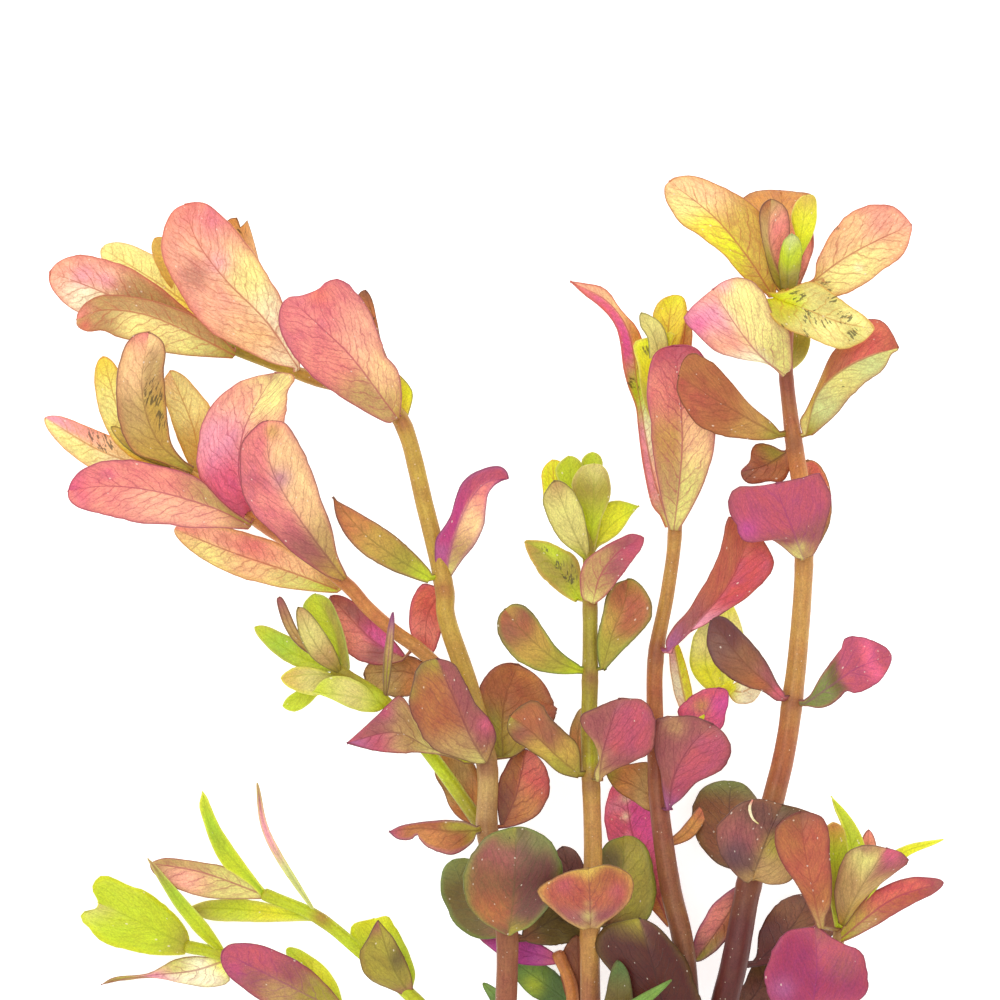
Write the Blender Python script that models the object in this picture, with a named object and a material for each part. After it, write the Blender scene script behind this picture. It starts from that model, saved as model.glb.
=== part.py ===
"""A clump of rotala, an aquarium plant: leafy stems from one short creeping stem, lying on a surface.

Places are drawn in millimetres: x to the right, y along the stems from the cut end to the tips, and z up
from the surface that the plant lies on. A path's points run from a base to a tip. Objects are in metres.
"""
import math

import bmesh
import bpy
from mathutils import Matrix, Vector

# Driving dimensions, in millimetres
BLADE_THICKNESS = 0.3
THICK_STEM_RADIUS = 1.35
STEM_RADIUS = 1.05
SHOOT_RADIUS = 0.7
TIP_RADIUS = 0.6
NODE_SWELLING = 1.2
CREEPING_RADIUS = 1.25
CREEPING_END_RADIUS = 1.1
BROAD_LEAF = 4.0
PLANT_CENTRE_X = 49.404
PLANT_CENTRE_Y = 35.334

# How finely the solids are drawn
MM = 0.001
PATH_STEPS = 12
STEM_SIDES = 6
CREEPING_SIDES = 8
LEAF_COLUMNS = 4
LEAF_ROWS = 5
SMALL_COLUMNS = 2
SMALL_ROWS = 4
TINY_ROWS = 3
WELD = 0.00001
LEAST_SLANT = 0.05

# A blade's outline: width at the base, place of the greatest width, fullness below it, blunt tip
SPOON = (0.12, 0.66, 1.0, 2.1)
ROUND = (0.16, 0.55, 0.8, 2.2)
BLUNT = (0.16, 0.62, 0.9, 3.2)
OVAL = (0.14, 0.50, 0.9, 1.9)
POINTED = (0.16, 0.42, 0.9, 1.35)
LANCE = (0.30, 0.36, 0.8, 1.4)

# Colours of the plant, as linear red, green and blue
COLOURS = {
    "lime": (0.55, 0.62, 0.03),
    "yellow": (0.87, 0.74, 0.20),
    "peach": (0.94, 0.55, 0.28),
    "pink": (0.85, 0.24, 0.30),
    "rose": (0.58, 0.13, 0.15),
    "magenta": (0.60, 0.10, 0.26),
    "red": (0.68, 0.13, 0.10),
    "rust": (0.45, 0.15, 0.05),
    "olive": (0.36, 0.28, 0.04),
    "green": (0.20, 0.28, 0.06),
    "maroon": (0.18, 0.05, 0.04),
    "stem": (0.47, 0.24, 0.07),
}


def material(colour):
    """The soft plant skin of one colour, made once."""
    name = "skin_" + colour
    if name in bpy.data.materials:
        return bpy.data.materials[name]
    skin = bpy.data.materials.new(name)
    skin.use_nodes = True
    surface = skin.node_tree.nodes["Principled BSDF"]
    surface.inputs["Base Color"].default_value = (*COLOURS[colour], 1.0)
    surface.inputs["Roughness"].default_value = 0.5
    surface.inputs["Metallic"].default_value = 0.0
    return skin


def smooth_path(points):
    """A fine line through the points, as a smooth curve."""
    knots = [Vector(point) for point in points]
    before = 2 * knots[0] - knots[1]
    after = 2 * knots[-1] - knots[-2]
    ends = [before, *knots, after]
    line = []
    for a, b, c, d in zip(ends, ends[1:], ends[2:], ends[3:]):
        for step in range(PATH_STEPS):
            u = step / PATH_STEPS
            bend = (2 * a - 5 * b + 4 * c - d) * u * u + (3 * b - a - 3 * c + d) * u ** 3
            line.append(0.5 * (2 * b + (c - a) * u + bend))
    line.append(knots[-1])
    return line


def at_share(line, share):
    """The place and the heading at a share of the line's length."""
    lengths = [(b - a).length for a, b in zip(line, line[1:])]
    left_over = share * sum(lengths)
    for (a, b), length in zip(zip(line, line[1:]), lengths):
        if left_over <= length:
            return a.lerp(b, left_over / length), (b - a).normalized()
        left_over -= length
    return line[-1], (line[-1] - line[-2]).normalized()


def to_world(point):
    """Drawing millimetres to metres about the middle of the plant's base."""
    return Vector((point.x - PLANT_CENTRE_X, point.y - PLANT_CENTRE_Y, point.z)) * MM


def add_object(name, bm, colour):
    """One named object from a finished bmesh."""
    bmesh.ops.recalc_face_normals(bm, faces=bm.faces)
    mesh = bpy.data.meshes.new(name)
    bm.to_mesh(mesh)
    bm.free()
    mesh.materials.append(material(colour))
    mesh.shade_smooth()
    thing = bpy.data.objects.new(name, mesh)
    bpy.context.scene.collection.objects.link(thing)
    return thing


def row_share(index, rows, widest):
    """Where a row of the blade lies along it: one at the widest place, closer rows towards the tip."""
    below = rows // 2
    if index <= below:
        return widest * index / below
    return widest + (1 - widest) * math.sin(math.pi / 2 * (index - below) / (rows - below))


def outline(share, shape):
    """The blade's half width at a share of its length, as a part of its greatest half width."""
    base, widest, fullness, bluntness = shape
    if share <= widest:
        return base + (1 - base) * math.sin(math.pi / 2 * share / widest) ** fullness
    beyond = (share - widest) / (1 - widest)
    return max(0.0, 1 - beyond ** bluntness) ** (1 / bluntness)


def blade_rows(path, shape, rows):
    """For each row of a blade: its share, the midrib's place and the level direction to the right."""
    line = smooth_path(path)
    frames = []
    right = None
    for index in range(rows + 1):
        share = row_share(index, rows, shape[1])
        place, heading = at_share(line, share)
        level = Vector((heading.y, -heading.x, 0))
        if right and level.dot(right) < 0:
            level.negate()
        if level.length > LEAST_SLANT:
            right = level.normalized()
        frames.append((share, place, right))
    return frames


def blade(name, colour, path, width, shape=SPOON, rise=(0.5, 0.5), grid=(LEAF_COLUMNS, LEAF_ROWS)):
    """A thin leaf blade. width and rise are the width and the edge's height of the left and right half."""
    columns, rows = grid
    bm = bmesh.new()
    bmesh.ops.create_grid(bm, x_segments=columns, y_segments=rows, size=1)
    frames = blade_rows(path, shape, rows)
    for vertex in bm.verts:
        side = 0 if vertex.co.x < 0 else 1
        across = abs(vertex.co.x)
        share, place, right = frames[round((vertex.co.y + 1) / 2 * rows)]
        half = outline(share, shape)
        point = place + right * vertex.co.x * half * width[side]
        point.z += rise[side] * half * across * across
        point.z = max(point.z, BLADE_THICKNESS / 2)
        vertex.co = to_world(point)
    bmesh.ops.remove_doubles(bm, verts=bm.verts, dist=WELD)
    thing = add_object(name, bm, colour)
    skin = thing.modifiers.new("Thickness", "SOLIDIFY")
    skin.thickness = BLADE_THICKNESS * MM
    skin.offset = 0.0
    return thing


def stem(name, colour, path, sides=STEM_SIDES):
    """A round stem through points that each give a place and a radius."""
    line = smooth_path(path)
    bm = bmesh.new()
    rings = []
    for index in range(0, len(line), PATH_STEPS):
        place = line[index]
        heading = line[min(index + 1, len(line) - 1)] - line[max(index - 1, 0)]
        turn = heading.to_3d().to_track_quat("Z", "Y").to_matrix().to_4x4()
        matrix = Matrix.Translation(to_world(place)) @ turn
        ring = bmesh.ops.create_circle(bm, segments=sides, radius=place.w * MM, matrix=matrix)
        rings.append(list({edge for vertex in ring["verts"] for edge in vertex.link_edges}))
    for lower, upper in zip(rings, rings[1:]):
        bmesh.ops.bridge_loops(bm, edges=lower + upper)
    for end in (rings[0], rings[-1]):
        bmesh.ops.contextual_create(bm, geom=end)
    return add_object(name, bm, colour)


def grow(parent, twigs):
    """Joins small leaves to the stem that they grow from, in one solid."""
    group = bpy.data.collections.new(parent.name + "_small_leaves")
    bpy.context.scene.collection.children.link(group)
    for twig in twigs:
        bpy.context.scene.collection.objects.unlink(twig)
        group.objects.link(twig)
        twig.hide_render = True
        twig.display_type = "WIRE"
    union = parent.modifiers.new("Small leaves", "BOOLEAN")
    union.operation = "UNION"
    union.operand_type = "COLLECTION"
    union.collection = group
    union.solver = "EXACT"


def small(name, path, width, shape=OVAL, rise=(0.2, 0.2)):
    """A small leaf that is joined to its stem. Only the broad ones are drawn with an extra row."""
    rows = SMALL_ROWS if sum(width) > BROAD_LEAF else TINY_ROWS
    return blade(name, "lime", path, width, shape, rise, (SMALL_COLUMNS, rows))


def tapered(points, radius, tip_radius, nodes=()):
    """Stem points with their radius. The points named in nodes, by index, are swollen leaf joints."""
    stations = []
    for index, point in enumerate(points):
        share = index / (len(points) - 1)
        slim = radius + (tip_radius - radius) * share * share
        stations.append((*point, slim * NODE_SWELLING if index in nodes else slim))
    return stations


def left_stem():
    """The tallest stem on the left, which bends over at its tip."""
    route = [(50.9, -8.4, 2.7), (50.6, -2.0, 8.0), (50.7, 6.7, 10.2), (49.6, 12.5, 10.4),
             (48.7, 17.3, 10.4), (48.7, 23.5, 10.6), (47.0, 31.0, 11.0), (44.7, 38.0, 11.4),
             (44.4, 41.4, 11.4), (42.6, 49.0, 11.6), (40.2, 57.8, 11.4), (36.6, 60.6, 10.4),
             (31.2, 62.2, 10.0), (25.2, 64.4, 10.4), (22.6, 65.4, 10.8)]
    parent = stem("stem_left", "stem", tapered(route, STEM_RADIUS, TIP_RADIUS, (2, 4, 5, 8, 10, 12)))
    grow(parent, [
        small("small_left_01", [(50.6, 6.8, 9.4), (47.6, 8.6, 5.4), (45.2, 13.8, 0.1)],
              (2.4, 3.0), ROUND),
        small("small_left_02",
              [(48.6, 17.4, 9.6), (47.2, 18.4, 7.2), (45.6, 20.2, 6.2), (43.7, 24.1, 5.4)],
              (1.4, 1.8), ROUND),
        small("small_left_03", [(44.4, 41.2, 10.8), (42.6, 38.8, 8.4), (41.7, 34.9, 7.4)], (1.2, 1.2)),
        small("small_left_04", [(40.5, 58.0, 11.2), (39.4, 62.4, 9.2), (36.8, 70.9, 8.6)],
              (1.4, 1.1), POINTED),
        small("small_left_05", [(29.0, 63.0, 10.0), (26.6, 70.0, 8.8), (23.6, 78.2, 8.8)], (1.6, 1.3)),
        small("small_left_06", [(24.4, 64.8, 10.4), (17.4, 70.6, 6.0), (10.0, 75.3, 0.1)],
              (2.0, 2.2), SPOON),
        small("small_left_07", [(24.2, 65.0, 10.4), (20.0, 70.4, 7.2), (15.4, 76.2, 6.6)],
              (1.8, 1.8), SPOON),
    ])


def left_leaves():
    """Leaves of the left stem, from its foot to its tip."""
    blade("leaf_left_01", "green",
          [(50.8, 6.6, 11.9), (51.3, 10.0, 14.0), (51.5, 13.6, 15.2), (51.6, 17.4, 15.0)],
          (5.0, 4.3), ROUND, (0.9, 0.9))
    blade("leaf_left_02", "maroon",
          [(52.4, 6.2, 8.4), (55.0, 7.8, 7.2), (58.8, 9.4, 6.2)],
          (2.2, 1.8), ROUND, (0.2, 0.2))
    blade("leaf_left_03", "rust",
          [(47.6, 17.0, 11.8), (45.2, 16.9, 12.6), (42.2, 17.2, 12.6), (38.9, 16.9, 12.0)],
          (2.2, 1.0), POINTED, (0.2, -0.6))
    blade("leaf_left_04", "rose",
          [(50.2, 17.4, 9.2), (51.6, 20.5, 8.2), (52.6, 25.0, 7.6)],
          (2.0, 3.2), OVAL, (0.2, 0.4))
    blade("leaf_left_05", "rose",
          [(48.5, 23.9, 12.4), (47.0, 26.5, 14.8), (45.5, 30.0, 16.4), (43.7, 34.2, 16.8)],
          (4.4, 2.4), ROUND, (0.6, -0.8))
    blade("leaf_left_06", "rust",
          [(50.3, 24.2, 9.2), (50.2, 27.5, 8.6), (50.6, 30.5, 8.0), (51.8, 33.5, 7.2)],
          (2.8, 5.3), ROUND, (0.3, 0.5))
    blade("leaf_left_07", "rose",
          [(46.8, 24.0, 11.0), (43.0, 25.2, 11.8), (39.4, 26.8, 12.2), (34.7, 25.7, 11.2)],
          (1.2, 3.3), POINTED, (0.1, 0.3))
    blade("leaf_left_08", "olive",
          [(43.0, 42.2, 12.4), (40.0, 44.0, 13.2), (36.5, 46.6, 13.4), (33.3, 50.3, 12.8)],
          (1.6, 1.6), OVAL, (0.3, -0.5))
    blade("leaf_left_09", "magenta",
          [(45.0, 42.6, 12.6), (45.3, 45.5, 13.8), (46.5, 48.7, 14.6),
           (48.0, 51.6, 14.8), (50.8, 52.2, 13.6)],
          (2.0, 1.9), OVAL, (0.6, 0.2))
    blade("leaf_left_10", "pink",
          [(39.7, 58.2, 12.9), (36.1, 62.7, 15.0), (32.6, 66.8, 16.4), (29.8, 71.2, 15.8)],
          (4.6, 3.9), SPOON, (0.6, 0.8))
    blade("leaf_left_11", "peach",
          [(29.7, 63.4, 11.6), (25.2, 69.2, 14.2), (21.2, 74.0, 15.4), (18.0, 79.6, 14.8)],
          (4.2, 4.2), SPOON, (0.6, 0.8))
    blade("leaf_left_12", "peach",
          [(22.0, 65.9, 10.2), (16.0, 68.2, 10.6), (10.0, 70.9, 10.0), (5.0, 72.8, 8.6)],
          (3.0, 3.3), SPOON, (0.2, 0.4))
    blade("leaf_left_13", "peach",
          [(23.4, 64.6, 11.9), (20.0, 66.2, 13.0), (15.0, 68.4, 13.2),
           (10.5, 69.0, 12.4), (7.7, 68.0, 11.0)],
          (3.0, 1.9), SPOON, (-0.4, 0.3))


def branch():
    """The second stem on the left, a branch of the first."""
    route = [(45.4, 31.8, 10.0), (42.0, 35.0, 10.6), (39.4, 36.9, 11.0), (36.8, 39.2, 11.2),
             (34.6, 41.6, 11.4), (30.6, 44.6, 11.8), (26.5, 47.4, 12.2), (22.0, 50.6, 12.6),
             (17.4, 53.4, 13.0)]
    parent = stem("branch_left", "stem", tapered(route, SHOOT_RADIUS, TIP_RADIUS, (4, 6)))
    grow(parent, [
        small("small_branch_01", [(18.4, 52.8, 12.8), (13.0, 56.4, 12.0), (10.3, 64.3, 11.4)],
              (1.8, 1.5), SPOON),
        small("small_branch_02", [(18.6, 52.6, 12.8), (10.8, 54.6, 11.4), (4.5, 58.2, 9.8)],
              (2.0, 1.8), OVAL),
        small("small_branch_03", [(20.4, 51.6, 12.6), (19.2, 57.0, 10.6), (17.4, 62.8, 10.0)],
              (2.0, 2.2), OVAL),
        small("small_branch_04", [(17.8, 53.2, 13.0), (14.0, 55.2, 13.6), (11.2, 57.3, 13.2)],
              (0.8, 0.8), OVAL),
    ])
    blade("leaf_branch_01", "red",
          [(40.7, 34.5, 9.8), (37.2, 36.0, 8.6), (33.0, 40.3, 8.0)],
          (2.6, 1.8), OVAL, (0.2, 0.2))
    blade("leaf_branch_02", "rust",
          [(44.2, 31.8, 8.4), (40.5, 32.8, 7.4), (36.4, 32.6, 6.6)],
          (2.6, 1.7), ROUND, (0.1, 0.1))
    blade("leaf_branch_03", "rose",
          [(34.4, 42.2, 12.8), (32.3, 44.9, 15.2), (29.5, 48.9, 17.2),
           (27.5, 53.4, 18.2), (27.2, 58.0, 17.6)],
          (3.9, 3.6), SPOON, (0.5, 0.6))
    blade("leaf_branch_04", "pink",
          [(25.2, 49.2, 13.5), (23.9, 52.4, 14.0), (24.6, 57.4, 14.2), (27.4, 62.8, 13.2)],
          (4.3, 3.4), SPOON, (0.4, 0.4))
    blade("leaf_branch_05", "pink",
          [(25.0, 47.5, 13.4), (21.4, 49.2, 15.0), (16.0, 50.8, 15.6),
           (11.0, 51.4, 15.0), (6.9, 50.9, 13.4)],
          (3.2, 3.0), SPOON, (0.4, 0.6))
    blade("leaf_branch_06", "peach",
          [(33.9, 41.1, 10.3), (29.0, 42.8, 7.8), (23.0, 44.8, 4.2), (17.3, 47.1, 0.1)],
          (2.1, 2.4), OVAL, (0.2, 0.4))
    blade("leaf_branch_07", "rust",
          [(19.1, 52.9, 14.0), (15.8, 56.0, 16.0), (14.3, 61.0, 17.4), (15.0, 66.7, 17.0)],
          (2.4, 2.5), SPOON, (0.5, 0.5))


def green_shoot():
    """The fresh side shoot that crosses behind the left stem's leaves, with its own small leaves."""
    route = [(47.3, 19.8, 8.5), (43.2, 24.3, 8.8), (38.5, 29.8, 10.8), (35.0, 32.2, 11.2),
             (33.4, 33.2, 11.4)]
    parent = stem("shoot_green", "lime", tapered(route, SHOOT_RADIUS, TIP_RADIUS, (2, 3)))
    grow(parent, [
        small("small_green_01", [(33.8, 33.0, 11.4), (29.5, 34.6, 10.6), (25.5, 37.3, 9.8)],
              (1.1, 1.3), OVAL),
        small("small_green_02", [(33.6, 33.2, 11.6), (29.7, 36.3, 13.4), (27.9, 40.3, 13.4)],
              (0.7, 0.6), LANCE),
        small("small_green_03", [(34.2, 32.8, 11.4), (33.4, 36.8, 11.2), (31.5, 40.6, 10.8)],
              (1.9, 1.5), ROUND),
        small("small_green_04", [(34.0, 32.8, 11.8), (31.6, 35.6, 14.8), (29.9, 39.3, 14.8)],
              (1.1, 1.4), OVAL),
        small("small_green_05", [(34.6, 32.4, 11.2), (31.2, 32.6, 11.9), (28.1, 32.2, 11.8)],
              (1.0, 1.0), OVAL),
        small("small_green_06", [(35.2, 32.0, 11.2), (31.2, 31.0, 9.8), (28.3, 29.4, 9.2)],
              (0.9, 0.8), OVAL),
        small("small_green_07", [(38.6, 29.6, 11.0), (35.0, 30.4, 12.6), (31.3, 30.8, 12.8)],
              (1.0, 1.0), OVAL),
        small("small_green_08", [(38.5, 29.8, 10.9), (38.8, 34.0, 12.8), (39.3, 38.8, 13.2)],
              (0.6, 0.6), LANCE),
    ])


def middle_stem():
    """The upright stem in the middle and its leaves."""
    route = [(59.4, -8.5, 2.8), (59.1, -2.6, 8.0), (59.0, 6.8, 10.8), (59.3, 14.0, 11.0),
             (59.1, 21.7, 11.0), (58.9, 27.0, 11.0), (59.0, 32.4, 11.0), (59.0, 39.5, 11.2),
             (58.9, 44.5, 11.6), (58.2, 48.6, 12.0)]
    parent = stem("stem_middle", "stem", tapered(route, STEM_RADIUS, TIP_RADIUS, (2, 4, 6, 7)))
    grow(parent, [
        small("small_middle_01", [(59.0, 7.0, 10.4), (57.4, 11.0, 8.0), (56.3, 15.3, 7.6)],
              (1.8, 1.8), ROUND),
        small("small_middle_02", [(59.0, 21.8, 10.6), (57.8, 25.6, 9.0), (58.2, 29.2, 8.6)],
              (0.9, 0.8), OVAL),
        small("small_middle_03", [(58.9, 43.8, 11.6), (57.2, 47.2, 14.2), (55.4, 51.9, 15.2)],
              (2.2, 1.8), OVAL),
        small("small_middle_04", [(58.9, 44.5, 11.6), (59.3, 49.0, 12.8), (59.4, 53.6, 12.8)],
              (1.8, 1.8), OVAL),
        small("small_middle_05", [(58.9, 44.4, 11.6), (61.0, 47.4, 11.0), (63.9, 49.4, 10.4)],
              (1.5, 1.3), OVAL),
        small("small_middle_06", [(58.2, 46.6, 11.8), (55.8, 50.2, 9.6), (55.2, 54.0, 9.2)],
              (1.5, 1.2), OVAL),
        small("small_middle_07", [(58.3, 48.0, 12.0), (57.2, 51.4, 10.9), (56.9, 54.4, 10.8)],
              (1.5, 1.5), OVAL),
        small("small_middle_08", [(58.3, 48.0, 12.0), (59.1, 52.0, 10.2), (59.2, 54.8, 9.8)],
              (1.4, 1.4), OVAL),
        small("small_middle_09", [(59.2, -3.4, 7.4), (62.0, -1.6, 13.6), (67.1, 2.1, 14.4)],
              (1.0, 1.0), POINTED),
        small("small_middle_10", [(59.2, -4.0, 6.6), (61.4, -0.8, 11.8), (61.8, 4.0, 12.8)],
              (1.2, 1.8), OVAL),
    ])
    blade("leaf_middle_01", "rose",
          [(59.0, 7.4, 12.6), (59.0, 9.2, 15.2), (58.9, 11.5, 16.8), (58.8, 13.3, 17.0)],
          (4.9, 4.3), BLUNT, (0.5, 0.5))
    blade("leaf_middle_02", "green",
          [(60.6, 7.4, 9.2), (61.6, 10.5, 8.4), (62.3, 13.5, 7.8), (62.4, 16.3, 7.0)],
          (2.2, 3.0), ROUND, (0.2, 0.2))
    blade("leaf_middle_03", "rose",
          [(59.8, 22.0, 12.6), (60.3, 25.0, 14.2), (61.2, 28.0, 15.2), (61.9, 30.2, 15.2)],
          (2.7, 4.7), BLUNT, (0.5, 0.3))
    blade("leaf_middle_04", "rust",
          [(57.8, 22.6, 12.2), (55.5, 24.6, 13.2), (53.0, 27.0, 13.4), (51.0, 28.4, 12.8)],
          (2.3, 2.7), ROUND, (-0.3, 0.3))
    blade("leaf_middle_05", "olive",
          [(57.8, 32.8, 12.0), (54.5, 34.8, 12.6), (51.9, 36.9, 12.8), (50.2, 39.3, 12.4)],
          (2.3, 1.9), ROUND, (0.1, 0.5))
    blade("leaf_middle_06", "olive",
          [(60.3, 33.2, 11.6), (61.2, 36.6, 11.8), (62.4, 39.6, 11.6), (62.8, 42.1, 11.0)],
          (1.9, 2.8), SPOON, (0.4, 0.4))
    blade("leaf_middle_07", "pink",
          [(59.3, 39.8, 12.8), (60.0, 42.4, 14.0), (61.7, 44.7, 14.4), (64.3, 46.2, 13.6)],
          (1.7, 1.7), OVAL, (0.4, 0.3))
    blade("leaf_middle_08", "lime",
          [(57.9, 40.2, 11.0), (56.4, 42.5, 10.8), (54.5, 44.7, 10.4), (52.5, 45.8, 9.6)],
          (1.6, 1.8), POINTED, (0.2, 0.2))


def short_stem():
    """A short shoot beside the foot of the middle stem, with three low leaves."""
    route = [(56.4, -8.2, 2.4), (57.0, -3.0, 5.4), (57.2, 1.0, 6.6), (55.8, 4.6, 7.2)]
    parent = stem("stem_short", "rust", tapered(route, SHOOT_RADIUS, TIP_RADIUS, (3,)))
    grow(parent, [
        small("small_short_01", [(56.2, 3.8, 7.0), (52.0, 5.0, 6.2), (47.4, 7.3, 5.6)],
              (1.4, 1.4), OVAL),
        small("small_short_02", [(57.2, -0.6, 6.2), (54.5, 1.4, 3.4), (51.2, 3.7, 0.1)],
              (1.7, 1.7), OVAL),
        small("small_short_03", [(57.0, -3.2, 5.2), (52.6, -2.6, 3.6), (48.3, 1.5, 2.2)],
              (0.9, 0.9), OVAL),
    ])


def inner_stem():
    """The stem to the right of the middle one and its leaves."""
    route = [(67.2, -9.2, 2.4), (68.8, -3.4, 6.4), (68.4, 5.0, 8.8), (67.1, 11.0, 9.0),
             (66.2, 17.0, 9.0), (65.8, 21.3, 9.0), (65.5, 28.0, 9.0), (65.6, 34.5, 9.0),
             (66.8, 41.0, 9.0), (67.5, 47.0, 9.2), (67.2, 54.0, 9.2), (66.4, 62.0, 9.4)]
    parent = stem("stem_inner", "stem", tapered(route, STEM_RADIUS, TIP_RADIUS, (5, 7, 9)))
    grow(parent, [
        small("small_inner_01", [(65.7, 20.6, 8.6), (63.2, 22.4, 7.0), (60.5, 24.4, 6.6)],
              (1.8, 2.4), OVAL),
        small("small_inner_02", [(66.4, 15.4, 8.8), (69.0, 17.0, 7.6), (71.6, 21.6, 6.6)],
              (0.7, 0.8), OVAL),
        small("small_inner_03", [(66.3, 61.0, 9.4), (66.7, 66.0, 9.8), (67.2, 70.5, 9.6)],
              (1.8, 1.8), OVAL),
        small("small_inner_04", [(66.2, 61.0, 9.6), (64.9, 65.6, 11.4), (64.2, 68.6, 11.4)],
              (1.0, 1.0), OVAL),
        small("small_inner_05", [(66.6, 56.4, 9.4), (65.2, 61.0, 11.0), (65.2, 66.3, 10.8)],
              (1.9, 1.7), BLUNT),
        small("small_inner_06", [(66.6, 60.0, 9.2), (68.2, 65.0, 8.2), (68.7, 69.0, 7.8)],
              (0.9, 0.9), OVAL),
    ])
    blade("leaf_inner_01", "maroon",
          [(68.4, -4.6, 8.9), (66.6, -1.2, 11.2), (65.4, 3.0, 12.0), (63.9, 8.2, 11.6)],
          (4.4, 4.6), ROUND, (-0.6, -0.6))
    blade("leaf_inner_02", "pink",
          [(67.3, 7.4, 7.4), (65.2, 11.5, 5.4), (63.4, 16.0, 3.4), (62.4, 22.1, 0.1)],
          (2.5, 2.3), SPOON, (0.2, 0.2))
    blade("leaf_inner_03", "rose",
          [(66.3, 20.9, 10.7), (67.2, 23.4, 12.4), (69.2, 25.9, 13.2), (72.1, 27.6, 13.0)],
          (3.9, 4.1), ROUND, (0.3, 0.3))
    blade("leaf_inner_04", "red",
          [(66.8, 34.9, 10.1), (69.8, 37.8, 11.2), (72.9, 41.7, 11.4), (75.1, 46.8, 11.0)],
          (1.8, 2.9), SPOON, (0.6, 0.3))
    blade("leaf_inner_05", "pink",
          [(67.4, 47.2, 10.6), (67.9, 51.5, 11.8), (68.2, 56.0, 12.6),
           (67.9, 61.0, 13.0), (67.4, 65.4, 12.6)],
          (3.2, 3.4), BLUNT, (0.6, 0.6))
    blade("leaf_inner_06", "peach",
          [(66.0, 47.8, 8.0), (65.2, 54.0, 7.6), (64.4, 61.0, 8.0),
           (62.6, 67.2, 9.0), (57.1, 71.9, 9.4)],
          (1.6, 1.9), POINTED, (0.4, 0.2))


def pale_shoot():
    """A thin pale side shoot in the background, with five small leaves."""
    route = [(66.9, 22.6, 7.4), (69.0, 26.4, 5.6), (71.4, 29.8, 4.8), (73.2, 31.4, 4.6)]
    parent = stem("shoot_pale", "yellow", tapered(route, TIP_RADIUS, TIP_RADIUS, (2,)))
    grow(parent, [
        small("small_pale_01", [(69.4, 26.9, 5.4), (70.6, 28.6, 5.6), (71.8, 31.2, 5.8)],
              (1.9, 1.8), BLUNT),
        small("small_pale_02", [(72.0, 30.4, 4.8), (70.6, 33.8, 4.0), (71.2, 38.2, 3.6)],
              (1.6, 1.6), OVAL),
        small("small_pale_03", [(72.6, 30.8, 4.6), (73.4, 35.0, 2.4), (72.6, 40.2, 0.1)],
              (1.2, 1.2), OVAL),
        small("small_pale_04", [(72.8, 31.0, 4.6), (74.4, 30.8, 3.8), (76.1, 31.8, 3.4)],
              (1.3, 1.3), OVAL),
        small("small_pale_05", [(69.3, 26.8, 5.4), (68.2, 31.5, 4.6), (67.3, 36.2, 4.2)],
              (0.9, 0.9), OVAL),
    ])


def right_stem():
    """The tall stem on the right."""
    route = [(72.2, -9.3, 2.6), (72.0, -3.0, 7.0), (73.5, 4.0, 9.4), (75.0, 12.0, 10.0),
             (77.2, 19.6, 10.0), (78.5, 25.0, 10.0), (79.2, 29.7, 10.0), (79.9, 36.0, 10.0),
             (80.4, 44.0, 10.0), (80.1, 51.0, 10.0), (79.4, 55.7, 10.0), (78.6, 62.6, 10.4),
             (78.7, 67.0, 11.4), (78.7, 71.4, 12.8)]
    parent = stem("stem_right", "stem", tapered(route, THICK_STEM_RADIUS, TIP_RADIUS, (3, 6, 8, 10, 11)))
    grow(parent, [
        small("small_right_01", [(71.9, -2.2, 7.2), (75.6, 0.4, 5.0), (77.0, 4.6, 2.8)],
              (1.6, 1.8), ROUND),
        small("small_right_02", [(74.6, 11.6, 9.6), (72.2, 7.6, 7.0), (69.5, 3.8, 6.6)],
              (1.4, 1.8), OVAL),
        small("small_right_03", [(80.3, 44.0, 9.6), (81.3, 49.0, 7.8), (80.9, 54.0, 7.4)],
              (2.4, 1.9), ROUND),
        small("small_right_04", [(79.4, 55.4, 9.6), (76.8, 53.6, 8.2), (74.1, 52.8, 7.8)],
              (2.0, 1.8), ROUND),
        small("small_right_05", [(78.6, 62.8, 10.0), (79.7, 65.6, 8.8), (79.8, 69.0, 8.4)],
              (1.2, 1.3), OVAL),
        small("small_right_06", [(78.7, 70.2, 12.4), (78.4, 75.5, 7.6), (78.2, 81.1, 0.1)],
              (3.2, 3.3), BLUNT),
        small("small_right_07", [(78.6, 70.8, 12.8), (76.9, 75.6, 16.4), (77.0, 80.0, 16.4)],
              (1.2, 1.1), OVAL),
        small("small_right_08", [(78.8, 70.8, 12.8), (79.9, 75.6, 15.0), (80.6, 80.4, 15.0)],
              (1.1, 1.0), OVAL),
        small("small_right_09", [(78.7, 71.0, 12.8), (78.7, 73.8, 17.4), (79.1, 76.5, 18.0)],
              (0.8, 0.8), LANCE),
        small("small_right_10", [(79.0, 70.8, 12.6), (80.9, 74.0, 14.0), (81.2, 77.7, 13.8)],
              (0.5, 0.5), LANCE),
    ])


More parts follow.
